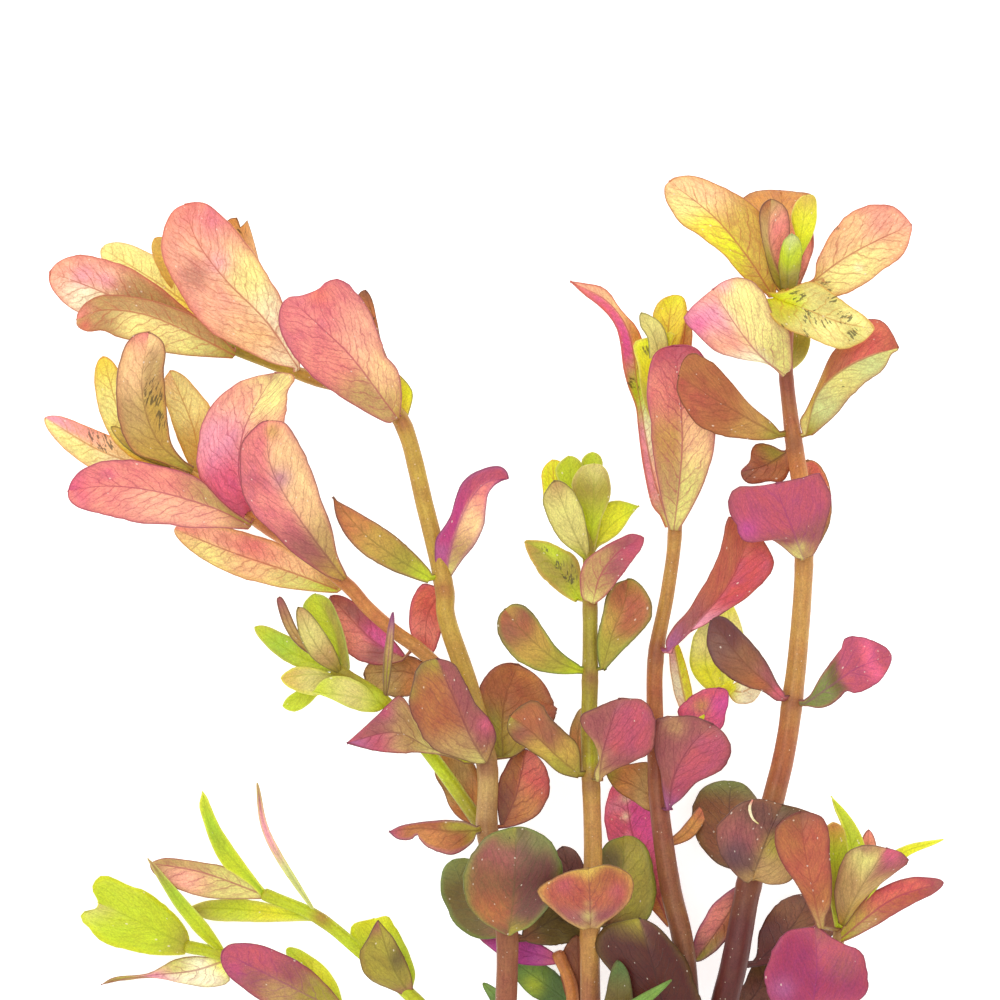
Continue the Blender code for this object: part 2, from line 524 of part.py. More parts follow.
def right_leaves():
    """Leaves of the right stem, from its foot to its tip."""
    blade("leaf_right_01", "maroon",
          [(75.1, 3.5, 8.0), (78.0, 5.8, 5.4), (80.0, 8.2, 2.8), (81.2, 10.6, 0.1)],
          (2.1, 3.0), ROUND, (0.2, 0.2))
    blade("leaf_right_02", "maroon",
          [(74.5, 13.1, 8.0), (73.4, 15.6, 5.8), (73.0, 18.6, 3.2), (73.2, 21.8, 0.1)],
          (3.8, 3.2), ROUND, (0.2, 0.2))
    blade("leaf_right_03", "maroon",
          [(75.2, 12.2, 12.2), (76.0, 14.6, 14.2), (77.0, 17.2, 15.2), (78.2, 19.6, 15.0)],
          (4.9, 4.2), BLUNT, (0.4, 0.2))
    blade("leaf_right_04", "rust",
          [(78.2, 30.2, 11.7), (76.5, 31.9, 12.6), (74.2, 34.0, 13.0), (71.1, 38.0, 12.4)],
          (2.2, 1.9), ROUND, (-0.3, 0.5))
    blade("leaf_right_05", "magenta",
          [(80.9, 29.6, 11.4), (83.1, 31.5, 13.2), (85.3, 33.4, 13.8), (89.1, 34.0, 12.0)],
          (2.5, 2.6), ROUND, (0.2, 0.2))
    blade("leaf_right_06", "magenta",
          [(80.3, 44.3, 12.0), (79.0, 47.6, 14.6), (77.9, 50.2, 16.0), (77.2, 52.2, 16.2)],
          (5.4, 4.4), BLUNT, (0.3, 0.3))
    blade("leaf_right_07", "red",
          [(80.7, 56.4, 10.6), (83.0, 60.2, 12.4), (85.8, 63.2, 13.4), (89.9, 65.2, 12.6)],
          (2.8, 1.6), OVAL, (-1.2, -1.0))
    blade("leaf_right_08", "rust",
          [(77.8, 56.5, 10.8), (75.0, 58.0, 13.2), (71.6, 60.0, 15.0), (67.8, 62.4, 15.8)],
          (2.8, 2.1), SPOON, (0.4, 0.4))
    blade("leaf_right_09", "pink",
          [(77.7, 63.6, 11.9), (75.6, 64.8, 14.6), (73.6, 67.6, 16.2), (71.4, 71.4, 15.8)],
          (3.6, 4.4), ROUND, (0.3, 0.3))
    blade("leaf_right_10", "yellow",
          [(79.0, 69.8, 13.7), (81.4, 69.0, 15.6), (84.2, 67.7, 16.0), (87.4, 66.9, 15.2)],
          (1.8, 2.6), ROUND, (0.5, 0.3))
    blade("leaf_right_11", "peach",
          [(80.6, 71.3, 12.8), (84.0, 73.9, 13.2), (87.2, 75.7, 13.0), (91.1, 77.5, 12.0)],
          (3.4, 3.2), SPOON, (0.3, 0.3))
    blade("leaf_right_12", "peach",
          [(77.2, 70.4, 13.1), (73.9, 75.2, 14.4), (71.3, 78.1, 14.6), (66.7, 81.9, 13.4)],
          (2.9, 3.4), SPOON, (0.3, 0.3))


def right_shoot():
    """A side shoot from the foot of the right stem, with small leaves and two broad ones."""
    route = [(75.6, -9.3, 2.8), (78.0, -5.6, 6.4), (80.4, -1.8, 9.0), (83.0, 3.0, 10.8),
             (84.3, 8.2, 11.8)]
    parent = stem("shoot_right", "olive", tapered(route, SHOOT_RADIUS, TIP_RADIUS, (2, 4)))
    grow(parent, [
        small("small_shoot_01", [(83.9, 7.2, 11.6), (83.5, 12.5, 12.0), (83.3, 17.8, 11.8)],
              (1.0, 1.0), OVAL),
        small("small_shoot_02", [(84.3, 8.2, 11.8), (85.2, 15.0, 12.0), (83.1, 20.4, 11.0)],
              (0.9, 0.9), LANCE),
        small("small_shoot_03", [(84.3, 8.2, 11.8), (89.4, 14.2, 12.4), (94.3, 16.1, 11.6)],
              (0.8, 0.8), LANCE),
        small("small_shoot_04", [(84.3, 8.0, 11.6), (86.4, 13.0, 10.8), (86.9, 17.0, 10.2)],
              (1.1, 1.2), OVAL),
        small("small_shoot_05", [(84.2, 7.6, 11.8), (85.8, 11.0, 15.0), (88.6, 15.3, 15.8)],
              (2.5, 2.8), OVAL),
        small("small_shoot_06", [(83.6, 5.8, 11.4), (89.0, 10.0, 12.2), (94.3, 11.8, 11.0)],
              (1.6, 1.4), OVAL),
    ])
    blade("leaf_shoot_01", "magenta",
          [(80.6, -2.8, 10.4), (81.2, -0.4, 13.2), (81.6, 3.2, 14.4), (81.4, 7.4, 14.2)],
          (4.9, 5.2), ROUND, (0.4, 0.4))
    blade("leaf_shoot_02", "red",
          [(82.9, 7.4, 14.0), (81.1, 11.5, 16.8), (80.3, 15.5, 17.6), (79.9, 18.9, 17.4)],
          (2.7, 2.6), BLUNT, (0.3, 0.3))


def runners():
    """Two low shoots that run out to the left from the foot of the plant."""
    upper = [(47.4, -8.0, 2.5), (45.2, -4.0, 4.6), (41.1, 0.3, 5.8), (36.2, 4.6, 5.6),
             (31.7, 8.2, 5.4), (26.4, 10.5, 5.2)]
    parent = stem("runner_upper", "olive", tapered(upper, SHOOT_RADIUS, TIP_RADIUS, (2, 4, 5)))
    grow(parent, [
        small("small_upper_01", [(26.5, 10.4, 5.2), (21.4, 16.4, 7.0), (20.2, 20.8, 7.0)],
              (1.3, 1.0), LANCE),
        small("small_upper_02", [(26.4, 10.4, 5.2), (20.4, 12.6, 4.8), (15.0, 13.6, 4.0)],
              (1.7, 1.4), OVAL),
        small("small_upper_03", [(31.5, 8.2, 5.2), (24.4, 8.9, 3.0), (18.7, 9.1, 2.4)],
              (1.1, 1.2), OVAL),
        small("small_upper_04", [(31.7, 8.3, 5.4), (26.9, 16.2, 9.0), (25.7, 21.7, 9.4)],
              (0.45, 0.4), LANCE),
        small("small_upper_05", [(40.9, 0.5, 5.6), (39.6, 4.0, 4.0), (37.3, 8.0, 3.4)],
              (2.6, 1.9), ROUND),
        small("small_upper_06", [(41.0, 0.4, 5.9), (39.2, 3.4, 8.6), (37.8, 7.9, 8.6)],
              (2.4, 1.7), OVAL),
    ])
    lower = [(45.6, -8.2, 2.6), (41.0, -5.4, 2.4), (34.0, -1.4, 2.6), (27.0, 2.2, 2.6),
             (22.0, 4.4, 2.6), (18.6, 5.2, 2.6)]
    parent = stem("runner_lower", "olive", tapered(lower, SHOOT_RADIUS, TIP_RADIUS, (2, 4, 5)))
    grow(parent, [
        small("small_lower_01", [(18.7, 5.2, 2.6), (14.0, 7.8, 3.0), (8.6, 10.4, 2.2)],
              (3.0, 2.6), BLUNT),
        small("small_lower_02", [(22.2, 4.6, 2.7), (18.3, 9.2, 5.0), (14.7, 14.1, 5.2)],
              (1.1, 1.1), LANCE),
        small("small_lower_03", [(22.4, 3.8, 2.5), (19.0, 2.7, 0.8), (14.4, 2.2, 0.3), (9.9, 1.3, 0.1)],
              (1.5, 1.7), LANCE),
        small("small_lower_04", [(34.2, -1.5, 2.7), (28.0, 1.8, 6.4), (22.2, 4.8, 6.8)],
              (2.6, 2.6), ROUND),
        small("small_lower_05", [(34.2, -1.5, 2.5), (32.0, 1.8, 1.0), (28.6, 5.0, 0.1)],
              (1.3, 1.2), OVAL),
    ])


def creeping_stem():
    """The short creeping stem that all the others rise from, cut plainly at both ends."""
    route = [(42.5, -9.8, 1.5), (48.0, -9.9, 1.5), (53.5, -9.6, 1.5), (59.0, -9.9, 1.5),
             (65.0, -10.4, 1.5), (71.0, -10.8, 1.5), (76.0, -10.6, 1.5)]
    thickness = tapered(route, CREEPING_RADIUS, CREEPING_END_RADIUS, (1, 3, 5))
    stem("creeping_stem", "rust", thickness, CREEPING_SIDES)


def main():
    for thing in list(bpy.data.objects):
        bpy.data.objects.remove(thing)
    creeping_stem()
    left_stem()
    left_leaves()
    branch()
    green_shoot()
    middle_stem()
    short_stem()
    inner_stem()
    pale_shoot()
    right_stem()
    right_leaves()
    right_shoot()
    runners()


main()
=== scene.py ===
"""A clump of rotala, an aquarium plant: leaves with veins on tender stems.

Places are drawn in millimetres, as in the part: x to the right, y along the stems, z up from the surface that
the plant lies on. A path runs from the foot of a leaf or stem to its tip. Made objects are in metres.

A text of places holds tenths of a millimetre, such as "508,66,119 513,100,140". Each row of a table is one
leaf: its finish, path, form and tints, and then what else the function leaf takes.
"""

import math
from types import SimpleNamespace

import bmesh
import bpy
from bpy.props import FloatProperty, FloatVectorProperty, PointerProperty
from bpy.types import Operator, Panel, PropertyGroup
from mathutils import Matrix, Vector, noise


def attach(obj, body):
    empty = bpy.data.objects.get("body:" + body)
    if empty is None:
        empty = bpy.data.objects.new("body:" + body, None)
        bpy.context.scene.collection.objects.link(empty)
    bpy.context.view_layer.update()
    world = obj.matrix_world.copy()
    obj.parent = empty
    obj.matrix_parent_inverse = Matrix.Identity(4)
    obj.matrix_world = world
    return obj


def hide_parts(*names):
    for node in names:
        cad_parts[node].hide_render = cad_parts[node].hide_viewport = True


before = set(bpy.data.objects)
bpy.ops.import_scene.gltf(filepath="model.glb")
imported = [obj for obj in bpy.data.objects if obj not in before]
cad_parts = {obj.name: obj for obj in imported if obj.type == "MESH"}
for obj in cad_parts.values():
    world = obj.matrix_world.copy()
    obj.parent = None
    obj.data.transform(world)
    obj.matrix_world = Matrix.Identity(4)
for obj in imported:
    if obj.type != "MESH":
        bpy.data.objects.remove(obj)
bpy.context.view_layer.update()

bl_info = {
    "name": "Aquarium rotala plant",
    "version": (1, 0, 0),
    "blender": (4, 5, 0),
    "location": "3D View > Sidebar > Rotala",
    "description": "Grows a clump of rotala with veined leaves on branching stems",
    "category": "Add Mesh",
}

MM = 0.001
TENTHS = 10
PLANT_CENTRE = Vector((49.404, 35.334, 0.0))
PATH_STEPS = 12
LEAF_GRID = (18, 42)
SMALL_GRID = (10, 26)
FOOT_ROWS = 2
WELD = 0.00001
LEAST_SLANT = 0.05
OWN_WIDEST = 0.5
SHARP_TURN = 1.9
STALK = 0.4
COLUMN_CROWDING = 1.2
MARGIN_WOBBLES = ((6, 2), (21, 0.9))
WOBBLE_START = (0.05, 0.4)
SIDE_SHIFT = 9
RIPPLE_PACE = (11, 4.7)
RIPPLE_START = (0.1, 0.5)
FULL_RIPPLE_WIDTH = 6
GROOVE_REACH = 0.35
GROOVE_FADE = 0.8
EDGE_STRENGTH = 0.55
EDGE_SHARE = 0.16
EDGE_WIDTH = 0.2
THINNING = (0.1, 1.0)
SPOT_STRENGTH = 0.7
SMALL_THICKNESS = 0.9
STEM_SIDES = 20
RING_GAP = 0.35
RING_REACH = 0.3
RING_DEPTH = 0.05
STEM_UNEVENNESS = 0.02
UNEVEN_PACE = 0.5
RIBS = 4
TIP_SHOULDER = (0.35, 0.7)
TIP_REACH = 0.5
VEIN_SLANT = 1.1
VEIN_BEND = 0.05
MOTTLING = 0.6
SKIN_GLOSS = 0.35
SPECK_COLOUR = "3A2E1C"
JOINT_COLOUR = "8A4428"
LEAF_DOT_COLOUR = "F4E6D0"
STEM_DOT_COLOUR = "F4E0C0"
BODY = "root"
PHOTO_CENTRE = (50.0, 50.0, 10.0)
PHOTO_WIDTH = 0.1
SENSOR = 36.0
CAMERA_REACH = 10.0
FLOOR_REACH = 3.0
FLOOR_ROUGHNESS = 0.9
FLOOR_GRAIN = 90.0
FLOOR_GRAIN_SHARE = 0.02
MOST_BOUNCES = 4
SURFACE_BOUNCES = 2
WHITE = (1, 1, 1, 1)
BLACK = (0, 0, 0, 1)
LAMP_SIZE = 0.6
LAMP_PLACE = (-0.35, 0.3, 0.9)

# A blade's outline: width at the base, place of the greatest width, fullness below it, blunt tip
SPOON = (0.12, 0.66, 1.0, 2.1)
ROUND = (0.16, 0.55, 0.8, 2.2)
BLUNT = (0.16, 0.62, 0.9, 3.2)
OVAL = (0.14, 0.50, 0.9, 1.9)
POINTED = (0.16, 0.42, 0.9, 1.35)
LANCE = (0.30, 0.36, 0.8, 1.4)

SHOOT_RADII = (0.7, 0.6)
THIN_RADII = (0.6, 0.6)
CREEPING_RADII = (1.25, 1.1)


def linear(code):
    """A colour written as six digits, as the linear red, green and blue that the shaders use."""
    parts = [int(code[i:i + 2], 16) / 255 for i in (0, 2, 4)]
    return tuple(p / 12.92 if p <= 0.04045 else ((p + 0.055) / 1.055) ** 2.4 for p in parts)


# The plant's colours, each by a plain name
PALETTE = {
    "lemon": "E4E21C", "lime": "BFCC1C", "fresh": "A2BC22", "moss": "74953A", "dark_green": "4E6A30",
    "olive": "A2922E", "dark_olive": "6C5A2A", "straw": "D8CC72", "gold": "D2AE48", "yellow": "F2DC3E",
    "butter": "F6E68C", "cream": "FAF2C4", "apricot": "F6C488", "peach": "F6AC8C", "salmon": "EA8878",
    "coral": "DC6656", "red": "D64A48", "pink": "E0607E", "hot_pink": "E2559A", "magenta": "BE4692",
    "mauve": "A85C8A", "rose": "B84E60", "rosewood": "9C5450", "brick": "B25A3E", "rust": "AA6236",
    "orange": "D28C3E", "tan": "BA9458", "brown": "8A5636", "cocoa": "74483C", "maroon": "64302C",
    "plum": "5A3C46", "honey": "C08E48", "amber": "C67E42", "russet": "93553A",
    "light_pink": "F09AAA", "ochre": "BC963E", "blush": "E27C78",
    "pale_green": "C9CC7E", "chestnut": "501C10", "raspberry": "9A2E54", "crimson": "C4484E",
    "pale_yellow": "F2EA8A", "cerise": "B83A70", "sage": "7C8440",
}

# How strongly each finish shows its veins: vein colour, veins, fine mesh, margin colour, margin, roughness
FINISHES = {
    "lime": ("8C9A1E", 0.30, 0.08, "EDEB7A", 0.35, 0.42),
    "yellow": ("C07A2E", 0.62, 0.22, "D98A3C", 0.45, 0.44),
    "peach": ("B4523C", 0.70, 0.28, "B85A44", 0.60, 0.44),
    "pink": ("A43850", 0.66, 0.26, "9A3A50", 0.60, 0.44),
    "rose": ("6E2838", 0.48, 0.20, "5C2830", 0.60, 0.42),
    "magenta": ("8C2C6A", 0.40, 0.16, "6C2A48", 0.55, 0.42),
    "red": ("8A3030", 0.40, 0.18, "7A3430", 0.60, 0.44),
    "rust": ("6C3822", 0.38, 0.18, "5C3626", 0.60, 0.46),
    "olive": ("5E5220", 0.34, 0.16, "4C4222", 0.55, 0.46),
    "green": ("3E5424", 0.26, 0.14, "3A4E22", 0.35, 0.42),
    "maroon": ("34181A", 0.40, 0.16, "33211F", 0.50, 0.40),
    "stem": ("8A4A24", 0.30, 0.20, "8A4A24", 0.30, 0.40),
}


class LeafSizes(PropertyGroup):
    """Sizes of the leaves that a user would change."""
    thickness: FloatProperty(
        name="Blade thickness", description="Thickness of a leaf along its midrib",
        default=0.34 * MM, unit="LENGTH")
    margin_share: FloatProperty(
        name="Margin thickness", description="The margin's thickness as a share of the midrib's",
        default=0.4, min=0.1, max=1.0, subtype="FACTOR")
    groove: FloatProperty(
        name="Midrib groove", description="Depth of the groove along the midrib",
        default=0.16 * MM, unit="LENGTH")
    wave: FloatProperty(
        name="Margin wave", description="Height of the waves along a leaf's margin",
        default=0.28 * MM, unit="LENGTH")
    wobble: FloatProperty(
        name="Outline wobble", description="How unevenly a leaf's outline runs",
        default=0.035, subtype="FACTOR")
    vein_gap: FloatProperty(
        name="Vein gap", description="Distance between two side veins", default=1.5 * MM, unit="LENGTH")
    mesh_gap: FloatProperty(
        name="Vein mesh", description="Width of one cell of the fine vein mesh",
        default=0.75 * MM, unit="LENGTH")


class StemSizes(PropertyGroup):
    """Sizes of the stems that a user would change."""
    swelling: FloatProperty(
        name="Joint swelling", description="How much a leaf joint is thicker than the stem",
        default=0.12, subtype="FACTOR")
    joint_length: FloatProperty(
        name="Joint length", description="Length of a swollen leaf joint", default=1.3 * MM, unit="LENGTH")
    fluting: FloatProperty(
        name="Fluting", description="Depth of the four soft ribs along a stem, as a share of its radius",
        default=0.03, subtype="FACTOR")


class PlantColours(PropertyGroup):
    """The colours that the leaves and stems are tinted with."""
    __annotations__ = {
        key: FloatVectorProperty(
            name=key.replace("_", " ").capitalize(), description="One of the plant's tints",
            subtype="COLOR", size=3, min=0.0, max=1.0, default=linear(code))
        for key, code in PALETTE.items()
    }


class StudioSettings(PropertyGroup):
    """The floor, light and camera."""
    floor_colour: FloatVectorProperty(
        name="Floor", description="Colour of the floor",
        subtype="COLOR", size=3, default=(0.86, 0.86, 0.86))
    floor_glow: FloatProperty(
        name="Floor glow", description="Light that the pale floor gives off", default=0.62, min=0.0)
    sky: FloatProperty(
        name="Soft light", description="Strength of the light from all round", default=1.08, min=0.0)
    key: FloatProperty(
        name="Key light", description="Power of the large lamp", default=2.4, unit="POWER")
    lens: FloatProperty(
        name="Lens", description="Focal length of the camera", default=800.0, unit="CAMERA")


def sizes():
    """The leaf sizes set in the scene."""
    return bpy.context.scene.rotala_leaf


def colour(name):
    """One of the plant's tints, with full alpha."""
    return Vector((*getattr(bpy.context.scene.rotala_colour, name), 1.0))


def smooth_step(low, high, value):
    share = min(1.0, max(0.0, (value - low) / (high - low)))
    return share * share * (3 - 2 * share)


def places(text):
    """The points of a text, in millimetres. A tint's name in a point stays as it is."""
    return [tuple(part if part[-1].isalpha() else float(part) / TENTHS for part in point.split(","))
            for point in text.split()]


def smooth_path(points):
    """A fine line through the points, as a smooth curve."""
    knots = [Vector(point) for point in points]
    ends = [2 * knots[0] - knots[1], *knots, 2 * knots[-1] - knots[-2]]
    line = []
    for a, b, c, d in zip(ends, ends[1:], ends[2:], ends[3:]):
        for step in range(PATH_STEPS):
            u = step / PATH_STEPS
            bend = (2 * a - 5 * b + 4 * c - d) * u * u + (3 * b - a - 3 * c + d) * u ** 3
            line.append(0.5 * (2 * b + (c - a) * u + bend))
    line.append(knots[-1])
    return line


def length_of(line):
    return sum((b - a).length for a, b in zip(line, line[1:]))


def at_share(line, share):
    """The place and the heading at a share of the line's length."""
    left_over = share * length_of(line)
    for a, b in zip(line, line[1:]):
        length = (b - a).length
        if left_over <= length:
            return a.lerp(b, left_over / length), (b - a).normalized()
        left_over -= length
    return line[-1], (line[-1] - line[-2]).normalized()


def to_world(point):
    """Drawing millimetres to metres about the middle of the plant's base."""
    return (Vector(point[:3]) - PLANT_CENTRE) * MM


def outline(share, shape):
    """The blade's half width at a share of its length, as a part of its greatest half width."""
    base, widest, fullness, bluntness = shape
    if share <= widest:
        return base + (1 - base) * math.sin(math.pi / 2 * max(share, 0) / widest) ** fullness
    beyond = (share - widest) / (1 - widest)
    return max(0.0, 1 - beyond ** bluntness) ** (1 / bluntness)


def row_share(index, rows, widest):
    """Where a row of the blade lies along it, with closer rows towards the tip."""
    below = rows // 2
    if index <= below:
        return widest * index / below
    return widest + (1 - widest) * math.sin(math.pi / 2 * (index - below) / (rows - below))


def ramp(names, share):
    """The tint at a share of the way through a row of tint names."""
    place = share * (len(names) - 1)
    index = min(int(place), len(names) - 2)
    return colour(names[index]).lerp(colour(names[index + 1]), smooth_step(0, 1, place - index))


def blended(tint, place, spots):
    """A tint with soft spots of other tints, each given as x, y, reach and a tint name."""
    for x, y, reach, name in spots:
        away = (place.to_2d() - Vector((x, y))).length / reach
        tint = tint.lerp(colour(name), SPOT_STRENGTH * math.exp(-away * away))
    return tint


def finished(piece, node):
    """Rides on the plant's one body and replaces a node."""
    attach(piece, BODY)
    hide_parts(node)
    return piece


def add_piece(name, bm, skin):
    """One named object from a finished bmesh."""
    bmesh.ops.recalc_face_normals(bm, faces=bm.faces)
    mesh = bpy.data.meshes.new(name)
    bm.to_mesh(mesh)
    bm.free()
    mesh.materials.append(skin)
    mesh.shade_smooth()
    piece = bpy.data.objects.new(name, mesh)
    bpy.context.scene.collection.objects.link(piece)
    return piece


def new_layers(bm):
    """Room at each vertex for its tint, its shares across and along the piece, and its place on it."""
    layers = bm.verts.layers
    return layers.float_color.new("tint"), layers.float_vector.new("blade"), layers.float_vector.new("place")


def margins_of(line, right, form):
    """The left and the right margin of a blade, each from its foot to its tip, through the points of form.
    They run round the tip in one curve unless the tip is sharp."""
    sides = [
        [Vector((*point[:2], 0)) for point in (line[0] + right * side * STALK, *margin, line[-1])]
        for side, margin in zip((-1, 1), form)]
    left, other = sides
    turn = (left[-1] - left[-2]).angle(other[-2] - other[-1], 0.0)
    if turn > SHARP_TURN:
        return [smooth_path(side) for side in sides]
    whole = smooth_path(left + other[-2::-1])
    tip = (len(left) - 1) * PATH_STEPS
    return [whole[:tip + 1], whole[:tip - 1:-1]]


def blade_rows(path, axis, form, rows):
    """For each row of a blade: its share, the midrib's place, the ways from there to the left and the right
    margin, and the distance along the midrib; and the blade's length. The first rows are the leaf's foot,
    which runs from the stem's axis to the blade."""
    line = smooth_path(path)
    foot = min((point.to_3d() for point in axis), key=lambda point: (point - line[0]).length)
    full = length_of(line)
    traced = len(form) == 2
    made = []
    right = None
    margins = []
    for index in range(rows + 1):
        share = row_share(index, rows, OWN_WIDEST if traced else form[2][1])
        place, heading = at_share(line, share)
        level = Vector((heading.y, -heading.x, 0))
        if right and level.dot(right) < 0:
            level.negate()
        if level.length > LEAST_SLANT:
            right = level.normalized()
        if traced and not margins:
            margins = margins_of(line, right, form)
        if traced:
            ways = [at_share(margin, share)[0] - place for margin in margins]
            for way in ways:
                way.z = 0
        else:
            half = outline(share, form[2])
            ways = [right * -half * form[0], right * half * form[1]]
        made.append((share, place, ways, share * full))
    reach = (foot - line[0]).length
    feet = []
    for index in range(FOOT_ROWS):
        part = index / FOOT_ROWS
        feet.append((0.0, foot.lerp(line[0], part), made[0][2], -reach * (1 - part)))
    return feet + made, full


def leaf(node, parent, finish, path, form, tints, right="", edge="", rise=(0.2, 0.2), blend=0.3,
         spots="", specks=""):
    """A leaf blade with a grooved midrib and a thin, waving margin, tinted from its foot to its tip.
    form is the greatest half width to the left and to the right with an outline, or else a text of the
    places that the left margin runs through, a slash, and those of the right margin. rise is how far the left
    and the right margin lift. right gives the right half tints of its own, which run into the left's over
    blend, and edge is the margin's tint. spots are tinted patches as x, y, reach and tint, and specks are
    places with dark specks as x, y and reach."""
    if isinstance(form, str):
        form = [places(side) for side in form.split("/")]
    spots, specks = places(spots), places(specks)
    kind, side, number = node.split("_")
    broad = kind == "leaf"
    columns, rows = LEAF_GRID if broad else SMALL_GRID
    cut = sizes()
    seed = float(sum(ord(letter) for letter in node) % 97)
    made, full = blade_rows(places(path), AXES[parent], form, rows)
    left_tints = tints.split()
    right_tints = (right or tints).split()
    widest = [max(ways[side].length for _, _, ways, _ in made) for side in (0, 1)]
    scale = min(1.0, sum(widest) / FULL_RIPPLE_WIDTH)
    bm = bmesh.new()
    tint_layer, blade_layer, place_layer = new_layers(bm)
    bmesh.ops.create_grid(bm, x_segments=columns, y_segments=rows + FOOT_ROWS, size=1)
    for vertex in bm.verts:
        side_of = math.copysign(1, vertex.co.x)
        across = side_of * abs(vertex.co.x) ** COLUMN_CROWDING
        share, place, ways, along = made[round((vertex.co.y + 1) / 2 * (rows + FOOT_ROWS))]
        half_of = 0 if across < 0 else 1
        way = ways[half_of]
        uneven = sum(noise.noise(Vector((share * pace, side_of * SIDE_SHIFT, seed))) * size
                     for pace, size in MARGIN_WOBBLES)
        way = way * (1 + uneven * cut.wobble * smooth_step(*WOBBLE_START, share))
        half = way.length
        x = across * half
        point = place + way * abs(across)
        lift = rise[half_of] * min(1.0, half / widest[half_of]) * across * across
        ripple = math.sin(share * RIPPLE_PACE[0] + seed) * math.sin(share * RIPPLE_PACE[1] + side_of + seed)
        ripple = ripple * cut.wave / MM * across * across * smooth_step(*RIPPLE_START, share)
        groove = math.exp(-(x / GROOVE_REACH) ** 2) * (1 - GROOVE_FADE * share) * cut.groove / MM
        point.z += lift + ripple * scale - groove * scale
        point.z = max(point.z, cut.thickness / MM / 2)
        to_margin = min((1 - abs(across)) * half, (1 - share) * full)
        tint = ramp(left_tints, share).lerp(ramp(right_tints, share), smooth_step(-blend, blend, across))
        if edge:
            near = 1 - smooth_step(0.0, EDGE_SHARE * half + EDGE_WIDTH, to_margin)
            tint = tint.lerp(colour(edge), EDGE_STRENGTH * near)
        tint = blended(tint, point, spots)
        speck = max((math.exp(-((point.to_2d() - Vector((x_at, y_at))).length / reach) ** 2)
                     for x_at, y_at, reach in specks), default=0)
        vertex[tint_layer] = tint
        vertex[blade_layer] = (across, share, speck)
        vertex[place_layer] = (x, along, to_margin)
        vertex.co = to_world(point)
    bmesh.ops.remove_doubles(bm, verts=bm.verts, dist=WELD)
    for vertex in bm.verts:
        vertex[place_layer] += Vector((0, seed, 0))
    blade_name = f"{side}_{'leaf' if broad else 'small_leaf'}_{number}"
    piece = add_piece(blade_name, bm, leaf_skin(finish))
    body = piece.vertex_groups.new(name="Body")
    for index, corner in enumerate(piece.data.attributes["blade"].data):
        body.add([index], 1 - smooth_step(*THINNING, abs(corner.vector.x)), "REPLACE")
    skin = piece.modifiers.new("Thickness", "SOLIDIFY")
    skin.thickness = cut.thickness * (1 if broad else SMALL_THICKNESS)
    skin.offset = 0.0
    skin.vertex_group = body.name
    skin.thickness_vertex_group = cut.margin_share
    return finished(piece, node if broad else parent)


def leaves(family, parent, rows, first=1):
    """One stem's leaves of a kind, numbered in the order of their rows."""
    for number, (finish, path, form, tints, *more) in enumerate(rows, first):
        leaf(f"{family}_{number:02d}", parent, finish, path, form, tints, **dict(*more))


# The line through each stem, by its node, which its leaves grow from
AXES = {}


def stem(name, node, finish, points, radii, tints, joints=(), spots=""):
    """A tender stem through the points, with swollen leaf joints at the points named in joints. radii and
    tints are evenly spaced from its foot, which is cut plainly, to its tip, which is round."""
    points, spots = places(points), places(spots)
    form = bpy.context.scene.rotala_stem
    bare = [Vector(point) for point in points]
    knots = []
    for index, point in enumerate(points):
        place = length_of(bare[:index + 1]) / length_of(bare) * (len(radii) - 1)
        before = min(int(place), len(radii) - 2)
        knots.append((*point, radii[before] + (radii[before + 1] - radii[before]) * (place - before)))
    line = smooth_path(knots)
    AXES[node] = line
    spine = [point.to_3d() for point in line]
    full = length_of(spine)
    marks = [length_of(spine[:index * PATH_STEPS + 1]) for index in joints]
    names = tints.split()
    rows = round(full / RING_GAP)
    shares = [0.0, *[index / rows for index in range(rows + 1)], 1.0, 1.0]
    bm = bmesh.new()
    tint_layer, blade_layer, place_layer = new_layers(bm)
    bmesh.ops.create_grid(bm, x_segments=STEM_SIDES, y_segments=len(shares) - 1, size=1)
    frames = []
    for index, share in enumerate(shares):
        place, heading = at_share(spine, share)
        thickness = at_share(line, share)[0].w
        if index in (0, len(shares) - 1):
            thickness = 0.0
        if index == len(shares) - 2:
            place = place + heading * thickness * TIP_SHOULDER[0]
            thickness *= TIP_SHOULDER[1]
        if index == len(shares) - 1:
            place = place + heading * line[-1].w * TIP_REACH
        over = heading.cross(Vector((0, 0, 1))).normalized()
        frames.append((share, place, thickness, over, over.cross(heading)))
    for vertex in bm.verts:
        turn = vertex.co.x * math.pi
        share, place, radius, over, up = frames[round((vertex.co.y + 1) / 2 * (len(shares) - 1))]
        along = share * full
        near, ring = (max((math.exp(-((along - mark) / reach) ** 2) for mark in marks), default=0)
                      for reach in (form.joint_length / MM, RING_REACH))
        girth = 1 + form.swelling * near + form.fluting * math.cos(RIBS * turn) * (1 - near)
        girth -= RING_DEPTH * ring
        girth += STEM_UNEVENNESS * noise.noise(Vector((along * UNEVEN_PACE, math.cos(turn), math.sin(turn))))
        point = place + (over * math.cos(turn) + up * math.sin(turn)) * radius * girth
        point.z = max(point.z, 0.0)
        tint = blended(ramp(names, share), point, spots)
        vertex[tint_layer] = tint
        vertex[blade_layer] = (near, share, ring)
        vertex[place_layer] = (math.cos(turn) * radius, math.sin(turn) * radius, along)
        vertex.co = to_world(point)
    bmesh.ops.remove_doubles(bm, verts=bm.verts, dist=WELD)
    piece = add_piece(name, bm, stem_skin(finish))
    return finished(piece, node)


